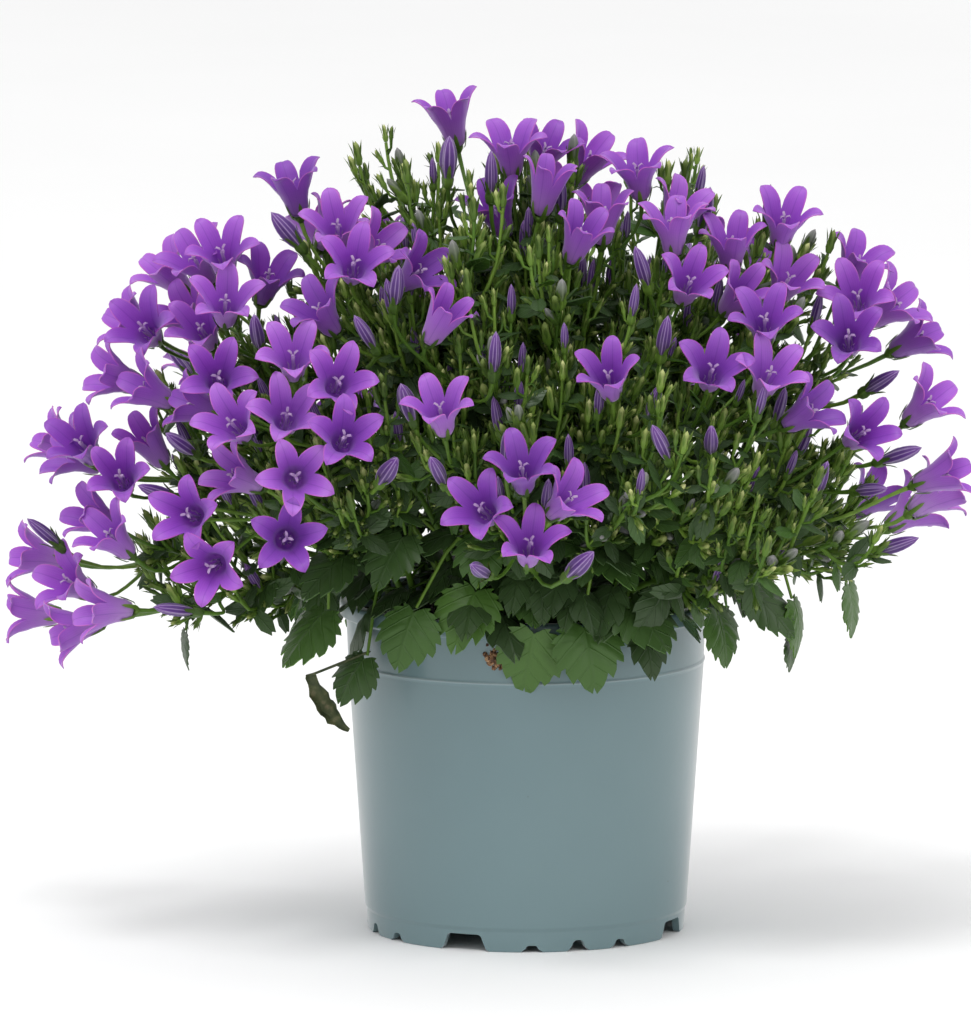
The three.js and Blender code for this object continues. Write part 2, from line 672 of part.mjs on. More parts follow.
function growStem(head, crown, owner, place) {
  const sideways = new THREE.Vector3(-crown.y, crown.x, 0).normalize();
  const root = crown.clone().addScaledVector(sideways, place * stemSpacing);
  root.z += (2 + place) * stagger;
  const far = head.fork.distanceTo(root);
  head.stem = stalk({
    start: root,
    leave: root.clone().addScaledVector(up, rootDepth + 0.3 * far),
    arrive: head.fork.clone().addScaledVector(head.grows, -0.35 * far),
    end: head.fork, radius: stemRadius, steps: 4, owner, skip: 10, early: 0.1,
  });
  stems.push(head.stem);
}

const pedicelStep = 0.05;

function growPedicels(head, owner) {
  head.blooms.forEach((bloom, n) => {
    const mark = 0.97 - pedicelStep * n;
    const start = head.stem.curve.getPointAt(mark);
    const far = bloom.base.distanceTo(start);
    const bend = {
      start,
      leave: start.clone().addScaledVector(head.stem.curve.getTangentAt(mark), 0.3 * far),
      arrive: bloom.base.clone().addScaledVector(bloom.facing, -0.4 * far),
      end: bloom.base.clone().addScaledVector(bloom.facing, -0.9),
      radius: pedicelRadius, steps: 2, owner, friend: bloom.owner,
    };
    pedicels.push({ ...stalk(bend), bloom });
    if (!isOpen(bloom)) {
      const spots = [3, 6, 9, 11].map((along) => bloom.base.clone().addScaledVector(bloom.facing, along));
      addBalls(spots, 1.8, owner);
    }
  });
}

function outward(tangent, angle) {
  const side = tangent.clone().cross(new THREE.Vector3(0.3, 0.2, 0.93)).normalize();
  return side.applyAxisAngle(tangent, angle * degrees);
}

function growAlong(head, owner, marks, make) {
  marks.forEach((mark, n) => {
    const start = head.stem.curve.getPointAt(mark);
    const tangent = head.stem.curve.getTangentAt(mark);
    const first = 137.5 * n + chance(0, 40);
    const size = chance();
    for (const turn of [0, 60, -60, 120, -120, 180]) {
      const piece = make(start, tangent, outward(tangent, first + turn), size);
      if (roomFor(piece.points, piece.fat, owner) >= clearance) {
        addBalls(piece.points, piece.fat, owner);
        piece.list.push({ ...piece.shape, owner });
        break;
      }
    }
  });
}

const budGirth = 1.3;

function budMaker(start, tangent, side, size) {
  const axis = tangent.clone().addScaledVector(side, 0.75).normalize();
  const length = 6.5 + 3 * size;
  const points = [0.5, 0.75, 1].map((n) => start.clone().addScaledVector(axis, length * n));
  return { list: buds, points, fat: 1.2, shape: { base: start, axis, length, radius: budGirth, sides: 3 } };
}

const bladeRoom = 0.8;

function leafMaker(start, tangent, side, size) {
  const along = tangent.clone().multiplyScalar(0.35).add(side).normalize();
  const face = tangent.clone().addScaledVector(up, 0.4).normalize();
  const base = start.clone().addScaledVector(along, 3);
  const leaf = { from: start, base, along, face, size: 7 + 4 * size, outline: smallOutline, width: 0.75 };
  return { list: leaves, points: leafBalls(leaf), fat: bladeRoom, shape: leaf };
}

clumpList.forEach(({ heads }, owner) => {
  const crown = roots[owner];
  const turn = ({ fork }) => Math.sin(Math.atan2(fork.y, fork.x) - Math.atan2(crown.y, crown.x));
  const order = [...heads].sort((a, b) => turn(a) - turn(b));
  order.forEach((head, n) => growStem(head, crown, owner, n - (heads.length - 1) / 2));
});
clumpList.forEach(({ heads }, owner) => heads.forEach((head) => growPedicels(head, owner)));

function nearStems(target) {
  return stems.map((stem) => {
    const spots = stem.path.filter((point) => point.z > soilTop + 3 && point.distanceTo(target) > 6);
    const point = spots.sort((a, b) => a.distanceTo(target) - b.distanceTo(target))[0];
    return { stem, point };
  }).sort((a, b) => a.point.distanceTo(target) - b.point.distanceTo(target)).slice(0, 12);
}

const stalkDrop = 12;
const largeBladeRoom = 0.9;

function growLargeLeaf(centre, along, face, size) {
  const outwards = new THREE.Vector3(centre.x, centre.y, 0).normalize();
  let best = null;
  for (const outer of [0, 2, 4, 6]) {
    const base = centre.clone().addScaledVector(along, -0.45 * size).addScaledVector(outwards, outer);
    for (const { stem, point } of nearStems(base.clone().addScaledVector(up, stalkDrop))) {
      const leaf = { from: point, base, along, face, size, outline: largeOutline, width: 1, owner: stem.owner };
      const points = [...leafBalls(leaf), ...alongPath([point, base])];
      const room = roomFor(points, largeBladeRoom, stem.owner);
      if (!best || room > best.room) best = { leaf, points, room };
      if (room >= clearance) break;
    }
    if (best.room >= clearance) break;
  }
  addBalls(best.points, largeBladeRoom, best.leaf.owner);
  leaves.push(best.leaf);
}

for (const [across, height, near, size, turn, out] of largeLeaves) {
  const centre = new THREE.Vector3(across, -near, (height + near * Math.sin(viewTilt)) / Math.cos(viewTilt));
  const outwards = new THREE.Vector3(centre.x, centre.y, 0).normalize();
  const along = new THREE.Vector3(Math.sin(turn * degrees), 0, -Math.cos(turn * degrees));
  along.multiplyScalar(Math.cos(out * degrees)).addScaledVector(outwards, Math.sin(out * degrees)).normalize();
  growLargeLeaf(centre, along, outwards.addScaledVector(up, 0.5).normalize(), size);
}
for (let i = 0; i < backLeaves; i += 1) {
  const yaw = 100 + (160 * (i + 0.5)) / backLeaves;
  const outwards = directionOf(yaw, 0);
  const centre = outwards.clone().multiplyScalar(50 + chance(0, 8)).setZ(70 + chance(-3, 12));
  const along = outwards.clone().multiplyScalar(0.6).addScaledVector(up, -0.8).normalize();
  growLargeLeaf(centre, along, outwards.addScaledVector(up, 0.5).normalize(), chance(11, 15));
}

const tipBudLength = 9;
clumpList.forEach(({ heads }, owner) => heads.forEach((head) => {
  const spike = head.blooms.length === 0;
  growAlong(head, owner, spike ? [0.93, 0.82, 0.71, 0.6] : [], budMaker);
  growAlong(head, owner, spike ? [0.42] : [0.5], leafMaker);
  if (spike) {
    const base = head.fork.clone().addScaledVector(head.grows, spikeTipLength - tipBudLength);
    buds.push({ base, axis: head.grows, length: tipBudLength, radius: 1.4, sides: 3, owner });
  }
}));

// Bodies: the crown is the short stock that the stems of a clump grow from
const crownRadius = 2.4;
const crownHeight = 3;

function crownSolid(root) {
  const crown = new THREE.CylinderGeometry(crownRadius, crownRadius, crownHeight, 5);
  crown.rotateX(Math.PI / 2);
  crown.translate(root.x, root.y, root.z + crownHeight / 2);
  return solidOf(crown);
}

const leafGreen = new THREE.MeshStandardMaterial({ color: 0x4c6b33, roughness: 0.55, metalness: 0 });
const bellViolet = new THREE.MeshStandardMaterial({ color: 0x9b5fc4, roughness: 0.5, metalness: 0 });
const potBlue = new THREE.MeshStandardMaterial({ color: 0x768d95, roughness: 0.42, metalness: 0 });
const peatBrown = new THREE.MeshStandardMaterial({ color: 0x2e221a, roughness: 0.95, metalness: 0 });

const part = new THREE.Group();
part.add(meshOf('pot', potSolid(), potBlue));
part.add(meshOf('soil', soilSolid(roots, clumpList.map(({ heads }) => heads.length)), peatBrown));

// Each clump without its blooms, and the same a little fatter, which cuts its way through the blooms of others
const cutFatter = 0.7;
const greens = clumpList.map((_, owner) => {
  const own = (list) => list.filter((piece) => piece.owner === owner);
  return {
    body: joined([
      crownSolid(roots[owner]),
      ...own(stems).map((stem) => tube(stem, 3)),
      ...own(pedicels).map((pedicel) => flowerStalkSolid(pedicel)),
      ...own(buds).map((bud) => budSolid(bud)),
      ...own(leaves).map((leaf) => leafSolid(leaf)),
    ]),
    cutter: joined([
      ...own(stems).map((stem) => tube(stem, 3, cutFatter)),
      ...own(pedicels).map((pedicel) => flowerStalkSolid(pedicel, cutFatter)),
      ...own(buds).map((bud) => budSolid(bud, cutFatter)),
      ...own(leaves).map((leaf) => leafSolid(leaf, gap)),
    ]),
  };
});

// Blooms that still touch once the greens are cut out of them are one body. The largest bodies are nodes of
// their own, up to the limit of nodes, and the single blooms past it grow together with their calyces
const nodeLimit = 60;
const seatedFoot = -1.2;
const bloomNodes = nodeLimit - part.children.length - clumpList.length;
const bodiesOf = (solid) => solid.decompose().sort((a, b) => b.volume() - a.volume());
const allGreen = joined(greens.flatMap(({ body, cutter }) => [body, cutter]));
const bloomShapes = blooms.map((bloom) => bloomSolid(bloom).subtract(allGreen));
const bloomBodies = bodiesOf(joined(bloomShapes)).slice(0, bloomNodes);
const isApart = (shape) => bloomBodies.every((body) => body.intersect(shape).volume() === 0);
const seated = blooms.filter((_, i) => isApart(bloomShapes[i]));

clumpList.forEach(({ name, heads }, owner) => {
  const foreign = joined(greens.filter((_, i) => i !== owner).flatMap(({ body, cutter }) => [body, cutter]));
  const borne = seated.filter((bloom) => heads.some((head) => head.blooms.includes(bloom)));
  const own = borne.map((bloom) => bloomSolid(bloom, seatedFoot).subtract(foreign));
  part.add(meshOf(name, bodiesOf(joined([greens[owner].body, ...own]))[0], leafGreen));
});
bloomBodies.forEach((body, i) => part.add(meshOf(`blooms_${i + 1}`, body, bellViolet)));

export default part;
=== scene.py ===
import json
import math
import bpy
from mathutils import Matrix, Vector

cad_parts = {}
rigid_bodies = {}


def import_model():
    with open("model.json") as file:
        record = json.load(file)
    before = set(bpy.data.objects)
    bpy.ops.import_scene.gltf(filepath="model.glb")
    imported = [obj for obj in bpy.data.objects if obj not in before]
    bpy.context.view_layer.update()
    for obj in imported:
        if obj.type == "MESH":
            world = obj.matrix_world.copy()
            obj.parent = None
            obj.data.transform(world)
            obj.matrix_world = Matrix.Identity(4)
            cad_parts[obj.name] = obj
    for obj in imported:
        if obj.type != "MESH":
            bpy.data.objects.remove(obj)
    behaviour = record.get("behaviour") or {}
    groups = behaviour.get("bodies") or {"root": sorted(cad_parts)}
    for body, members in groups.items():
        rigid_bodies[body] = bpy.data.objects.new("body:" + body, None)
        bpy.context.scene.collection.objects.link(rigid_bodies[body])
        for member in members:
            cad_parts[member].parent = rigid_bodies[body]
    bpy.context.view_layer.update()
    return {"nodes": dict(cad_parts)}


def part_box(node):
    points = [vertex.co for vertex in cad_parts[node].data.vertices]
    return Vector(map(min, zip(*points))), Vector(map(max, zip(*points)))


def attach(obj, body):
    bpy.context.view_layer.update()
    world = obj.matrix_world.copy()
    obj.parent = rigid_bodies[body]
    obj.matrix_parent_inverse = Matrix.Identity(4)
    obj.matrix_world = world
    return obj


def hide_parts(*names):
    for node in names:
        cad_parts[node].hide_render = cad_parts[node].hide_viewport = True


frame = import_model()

from types import SimpleNamespace as Thing

import bpy
import numpy as np
from mathutils import Matrix, Vector, kdtree

# The view: a long lens a little above the pot's rim, aimed so that a millimetre beside the pot's axis
# takes PIXELS_PER_MM of the picture. The pot's axis meets the floor at POT_FOOT_PIXEL.
MM = 0.001
PIXELS_PER_MM = 4.335
IMAGE_SIZE = (971, 1024)
POT_FOOT_PIXEL = (526, 927)
VIEW_TILT = math.radians(8.3)
CAMERA_DISTANCE = 3.5
SENSOR_MM = 36

aim_across = (IMAGE_SIZE[0] / 2 - POT_FOOT_PIXEL[0]) / PIXELS_PER_MM * MM
aim_height = (POT_FOOT_PIXEL[1] - IMAGE_SIZE[1] / 2) / PIXELS_PER_MM * MM / math.cos(VIEW_TILT)
camera = bpy.data.objects.new("camera", bpy.data.cameras.new("camera"))
camera.data.lens = SENSOR_MM * CAMERA_DISTANCE / (IMAGE_SIZE[1] / PIXELS_PER_MM * MM)
camera.data.clip_end = 50
camera.location = (
    aim_across,
    -CAMERA_DISTANCE * math.cos(VIEW_TILT),
    aim_height + CAMERA_DISTANCE * math.sin(VIEW_TILT),
)
camera.rotation_euler = (math.radians(90) - VIEW_TILT, 0, 0)
bpy.context.scene.collection.objects.link(camera)
bpy.context.scene.camera = camera
bpy.context.scene.view_settings.view_transform = "Standard"

# The studio: a pale floor, a white surround that lights the object from all sides, one large soft lamp
# high on the left, and a faint one low on the right. Each lamp has its place, its side in metres and its
# watts.
SURROUND_STRENGTH = 0.9
LAMPS = [((-0.5, -1.2, 2.6), 0.9, 32), ((1.6, -1.2, 1.0), 1.2, 5)]
LAMPS_AIM = (0, 0, 0.1)
FLOOR_REACH = 9


def link(thing):
    bpy.context.scene.collection.objects.link(thing)
    return thing


world = bpy.data.worlds.new("white_surround")
world.use_nodes = True
world.node_tree.nodes["Background"].inputs["Color"].default_value = (1, 1, 1, 1)
world.node_tree.nodes["Background"].inputs["Strength"].default_value = SURROUND_STRENGTH
bpy.context.scene.world = world
for place, side, watts in LAMPS:
    lamp = bpy.data.lights.new("soft_lamp", "AREA")
    lamp.size = side
    lamp.energy = watts
    holder = link(bpy.data.objects.new("soft_lamp", lamp))
    holder.location = place
    holder.rotation_euler = (Vector(LAMPS_AIM) - Vector(place)).to_track_quat("-Z", "Y").to_euler()


def finish_of(name, roughness=0.5, **sockets):
    """A new material, with its tree and its shader."""
    material = bpy.data.materials.new(name)
    material.use_nodes = True
    shader = material.node_tree.nodes["Principled BSDF"]
    shader.inputs["Roughness"].default_value = roughness
    for socket, value in sockets.items():
        shader.inputs[socket.replace("_", " ")].default_value = value
    return material, material.node_tree, shader


def node(tree, kind, settings=None, **inputs):
    """A new node with its settings, and its inputs as values or as the outputs that feed them."""
    made = tree.nodes.new(kind)
    for name, value in (settings or {}).items():
        setattr(made, name, value)
    for name, value in inputs.items():
        wanted = name.replace("_", " ")
        socket = next(s for s in made.inputs if s.name == wanted and s.enabled)
        if isinstance(value, bpy.types.NodeSocket):
            tree.links.new(value, socket)
        else:
            socket.default_value = value
    return made


def ramp(tree, factor, stops):
    """A colour ramp through (place, colour) stops."""
    made = tree.nodes.new("ShaderNodeValToRGB")
    bands = made.color_ramp.elements
    while len(bands) < len(stops):
        bands.new(0.5)
    for band, (place, colour) in zip(bands, stops):
        band.position = place
        band.color = (*colour, 1)
    tree.links.new(factor, made.inputs["Fac"])
    return made.outputs["Color"]


def mixed(tree, factor, first, second, blend="MIX"):
    """Two colours mixed, each a colour or the output that gives it."""
    made = tree.nodes.new("ShaderNodeMix")
    made.data_type = "RGBA"
    made.blend_type = blend
    for place, value in ((0, factor), (6, first), (7, second)):
        if isinstance(value, bpy.types.NodeSocket):
            tree.links.new(value, made.inputs[place])
        else:
            made.inputs[place].default_value = value if place == 0 else (*value, 1)
    return made.outputs[2]


def grain(tree, scale, detail=4, vector=None):
    """A noise on the object's own coordinates."""
    coordinates = vector or tree.nodes.new("ShaderNodeTexCoord").outputs["Object"]
    return node(tree, "ShaderNodeTexNoise", Vector=coordinates, Scale=scale, Detail=detail).outputs["Fac"]


def coloured(tree, shader, colour):
    tree.links.new(colour, shader.inputs["Base Color"])


def bumped(tree, shader, height, strength, distance):
    made = node(tree, "ShaderNodeBump", Height=height, Strength=strength, Distance=distance)
    tree.links.new(made.outputs["Normal"], shader.inputs["Normal"])


floor_finish, floor_tree, floor_shader = finish_of("pale_floor", 0.7)
coloured(floor_tree, floor_shader, ramp(floor_tree, grain(floor_tree, 3), [
    (0.3, (0.92, 0.92, 0.92)), (0.7, (0.95, 0.95, 0.95))]))
floor_mesh = bpy.data.meshes.new("floor")
floor_corners = [(FLOOR_REACH * x, FLOOR_REACH * y, 0) for x, y in ((-1, -1), (1, -1), (1, 1), (-1, 1))]
floor_mesh.from_pydata(floor_corners, [], [(0, 1, 2, 3)])
floor_mesh.materials.append(floor_finish)
link(bpy.data.objects.new("floor", floor_mesh))

# The pot: one thin wall of blue-grey polypropylene, injection-moulded in one shot. It has a rolled lip, a
# fine bead under it, a stepped foot with drainage notches, and a floor held clear of the ground.
POT_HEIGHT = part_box("pot")[1][2] / MM
RIM_RADIUS = max(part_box("pot")[1][:2]) / MM
FOOT_RADIUS = RIM_RADIUS - 6.4
LIP_RADIUS = RIM_RADIUS - 1.5
WALL = 1.2
LIP_HEIGHT = 3.8
FOOT_HEIGHT = 4.7
FLOOR_HEIGHT = 4.2
FLOOR_TOP = FLOOR_HEIGHT + 1.6
BEAD_HEIGHT = POT_HEIGHT - LIP_HEIGHT - 10.3
PAD_RADIUS = 8
POT_SIDES = 144


def mesh_piece(name, points, faces, finish, smooth_to=40):
    """A piece from points in millimetres, shaded smooth up to an angle between its faces."""
    mesh = bpy.data.meshes.new(name)
    mesh.from_pydata([tuple(p) for p in np.asarray(points) * MM], [], faces)
    mesh.materials.append(finish)
    mesh.polygons.foreach_set("use_smooth", [True] * len(mesh.polygons))
    mesh.set_sharp_from_angle(angle=math.radians(smooth_to))
    return link(bpy.data.objects.new(name, mesh))


def turned(profile, sides):
    """Points and faces of a closed shape turned round Z, from (radius, height) pairs run anticlockwise."""
    points, faces, rows = [], [], []
    for radius, height in profile:
        if radius < 1e-6:
            rows.append([len(points)] * sides)
            points.append((0, 0, height))
        else:
            angles = [2 * math.pi * k / sides for k in range(sides)]
            rows.append([len(points) + k for k in range(sides)])
            points += [(radius * math.cos(a), radius * math.sin(a), height) for a in angles]
    for low, high in zip(rows, rows[1:] + rows[:1]):
        for k in range(sides):
            corners = [low[k], low[(k + 1) % sides], high[(k + 1) % sides], high[k]]
            face = [c for n, c in enumerate(corners) if c != corners[n - 1]]
            if len(face) > 2:
                faces.append(face)
    return points, faces


def rounded(corner, before, after, radius, steps=3):
    """A corner of a profile as an arc."""
    corner, before, after = (np.array(p, float) for p in (corner, before, after))
    start = corner + (before - corner) / np.linalg.norm(before - corner) * radius
    end = corner + (after - corner) / np.linalg.norm(after - corner) * radius
    shares = np.linspace(0, 1, steps + 1)
    return [tuple((1 - t) ** 2 * start + 2 * t * (1 - t) * corner + t * t * end) for t in shares]


def eased(profile, radii):
    """A profile with each corner eased by its own radius."""
    out = []
    for n, (corner, radius) in enumerate(zip(profile, radii)):
        after = profile[(n + 1) % len(profile)]
        out += rounded(corner, profile[n - 1], after, radius) if radius else [corner]
    return out


INNER_FOOT = FOOT_RADIUS - 1.6
pot_profile = [
    (FOOT_RADIUS, 0),
    (FOOT_RADIUS + 0.2, FOOT_HEIGHT),
    (FOOT_RADIUS + 0.6, FOOT_HEIGHT + 0.9),
    (LIP_RADIUS - 0.42, BEAD_HEIGHT - 0.7),
    (LIP_RADIUS - 0.05, BEAD_HEIGHT),
    (LIP_RADIUS - 0.42, BEAD_HEIGHT + 0.4),
    (LIP_RADIUS, POT_HEIGHT - LIP_HEIGHT),
    (RIM_RADIUS, POT_HEIGHT - LIP_HEIGHT + 0.15),
    (RIM_RADIUS, POT_HEIGHT),
    (LIP_RADIUS - WALL, POT_HEIGHT),
    (INNER_FOOT, FLOOR_TOP),
    (0, FLOOR_TOP),
    (0, 0),
    (PAD_RADIUS, 0),
    (PAD_RADIUS + 0.8, FLOOR_HEIGHT),
    (INNER_FOOT, FLOOR_HEIGHT),
    (INNER_FOOT, 0),
]
pot_easing = [0.3, 0.2, 0.25, 0.3, 0.25, 0.3, 0.5, 0.5, 1.0, 0.6, 0.8, 0, 0, 0.3, 0.5, 0.5, 0.3]

# The plastic is faintly cloudy, with sparse specks of dirt, and a pale line painted along the top of the
# bead as its highlight
BLACK = (0, 0, 0)
WHITE = (1, 1, 1)
PALE = (0.8, 0.8, 0.8)
pot_finish, pot_tree, pot_shader = finish_of(
    "pot_plastic", 0.4, Sheen_Weight=0.9, Sheen_Roughness=0.28, Coat_Weight=0.5, Coat_Roughness=0.25)
on_object = pot_tree.nodes.new("ShaderNodeTexCoord").outputs["Object"]
cloudy = ramp(pot_tree, grain(pot_tree, 14, 3), [(0.3, (0.116, 0.192, 0.208)), (0.7, (0.138, 0.219, 0.235))])
specks = node(pot_tree, "ShaderNodeTexVoronoi", Vector=on_object, Scale=210).outputs["Distance"]
sparse = ramp(pot_tree, grain(pot_tree, 40, 1), [(0.62, BLACK), (0.68, WHITE)])
dirt = mixed(pot_tree, 1, ramp(pot_tree, specks, [(0.02, WHITE), (0.05, BLACK)]), sparse, "MULTIPLY")
level = node(pot_tree, "ShaderNodeSeparateXYZ", Vector=on_object).outputs["Z"]
from_bead = node(pot_tree, "ShaderNodeMapRange", Value=level, From_Min=(BEAD_HEIGHT - 0.3) * MM,
                 From_Max=(BEAD_HEIGHT + 0.5) * MM).outputs["Result"]
# Painted highlight: a pale band just above the bead's crest, where light from above catches it
painted_bead_highlight = ramp(pot_tree, from_bead, [(0, BLACK), (0.4, PALE), (0.6, PALE), (1, BLACK)])
bead_highlighted = mixed(pot_tree, painted_bead_highlight, cloudy, (0.3, 0.38, 0.4))
coloured(pot_tree, pot_shader, mixed(pot_tree, dirt, bead_highlighted, (0.05, 0.06, 0.06)))
rubbed = node(pot_tree, "ShaderNodeMapRange", Value=grain(pot_tree, 30, 5), To_Min=0.33, To_Max=0.5)
pot_tree.links.new(rubbed.outputs["Result"], pot_shader.inputs["Roughness"])
bumped(pot_tree, pot_shader, grain(pot_tree, 260, 6), 0.12, 0.0003)

pot = mesh_piece("pot_moulded", *turned(eased(pot_profile, pot_easing), POT_SIDES), pot_finish, 50)

# The foot's notches let water out: four groups of one wide and three small ones, moulded through the foot
# ring. Each has its degrees from the group's start, its width and its height, and flares where it meets
# the ground.
NOTCH_GROUPS = 4
NOTCH_ANGLE = 67
NOTCHES = [(0, 10, 3.9), (25, 3.2, 1.6), (42, 3.6, 2.6), (59, 3.2, 2.0)]
NOTCH_STEPS = 5
NOTCH_LEAN = 0.15
NOTCH_DEPTH = 3
NOTCH_FLARE = [(1.6, -1), (0.95, 0.1), (0.3, 0.55)]


def notch_cutter(angle, width, height):
    """A block through the foot ring whose top corners are rounded."""
    corner = min(1.2, 0.45 * height)
    outline = [(-width / 2 - NOTCH_FLARE[0][0], NOTCH_FLARE[0][1])]
    outline += [(width / 2 + out, level) for out, level in NOTCH_FLARE]
    for side in (1, -1):
        for k in range(NOTCH_STEPS):
            turn = math.radians(90 * k / (NOTCH_STEPS - 1))
            turn = turn if side > 0 else math.radians(90) - turn
            across = side * (width / 2 - NOTCH_LEAN * height - corner * (1 - math.cos(turn)))
            outline.append((across, height - corner * (1 - math.sin(turn))))
    outline += [(-width / 2 - out, level) for out, level in NOTCH_FLARE[:0:-1]]
    points = [(x, y - FOOT_RADIUS, z) for y in (-NOTCH_DEPTH, NOTCH_DEPTH) for x, z in outline]
    count = len(outline)
    faces = [list(range(count)), list(range(2 * count - 1, count - 1, -1))]
    faces += [[n, n + count, (n + 1) % count + count, (n + 1) % count] for n in range(count)]
    turn = Matrix.Rotation(math.radians(angle), 3, "Z")
    return [turn @ Vector(p) for p in points], faces


cutter_points, cutter_faces = [], []
for group in range(NOTCH_GROUPS):
    for offset, width, height in NOTCHES:
        block, faces = notch_cutter(NOTCH_ANGLE + 90 * group + offset, width, height)
        cutter_faces += [[c + len(cutter_points) for c in face] for face in faces]
        cutter_points += block
cutter = mesh_piece("notch_cutter", cutter_points, cutter_faces, pot_finish)


def made_plain(piece, smooth_to=None):
    """The evaluated shape of a piece becomes its plain mesh, without modifiers."""
    graph = bpy.context.evaluated_depsgraph_get()
    mesh = bpy.data.meshes.new_from_object(piece.evaluated_get(graph))
    piece.modifiers.clear()
    piece.data = mesh
    if smooth_to:
        mesh.set_sharp_from_angle(angle=math.radians(smooth_to))
    return piece


cut = pot.modifiers.new("notches", "BOOLEAN")
cut.operation = "DIFFERENCE"
cut.solver = "EXACT"
cut.object = cutter
made_plain(pot, 50)
bpy.data.objects.remove(cutter)


def seated(piece, slot, *nodes):
    """The piece rides on the plant's one body and hides the CAD nodes it stands in for. The slot is not
    used.
    """
    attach(piece, "root")
    if nodes:
        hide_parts(*nodes)


seated(pot, "pot", "pot")

# The plant's layout. Each bloom was placed by its distance across from the pot's axis, its height in the
# picture, where it faces (degrees to the right, degrees up), how far it is open and how much deeper it
# lies than the dome's near surface. The stems, stalks and leaves follow from those by rule, as in the
# solids.
DOME = Thing(across=116, deep=92, tall=115, base=75)
HEART = np.array((0.0, 0.0, 92.0))
UP = np.array((0.0, 0.0, 1.0))
BLOOM_LENGTH = 10
SOIL_TOP = 75
ROOT_DEPTH = 7
STEM_RADIUS = 0.8
PEDICEL_RADIUS = 0.55

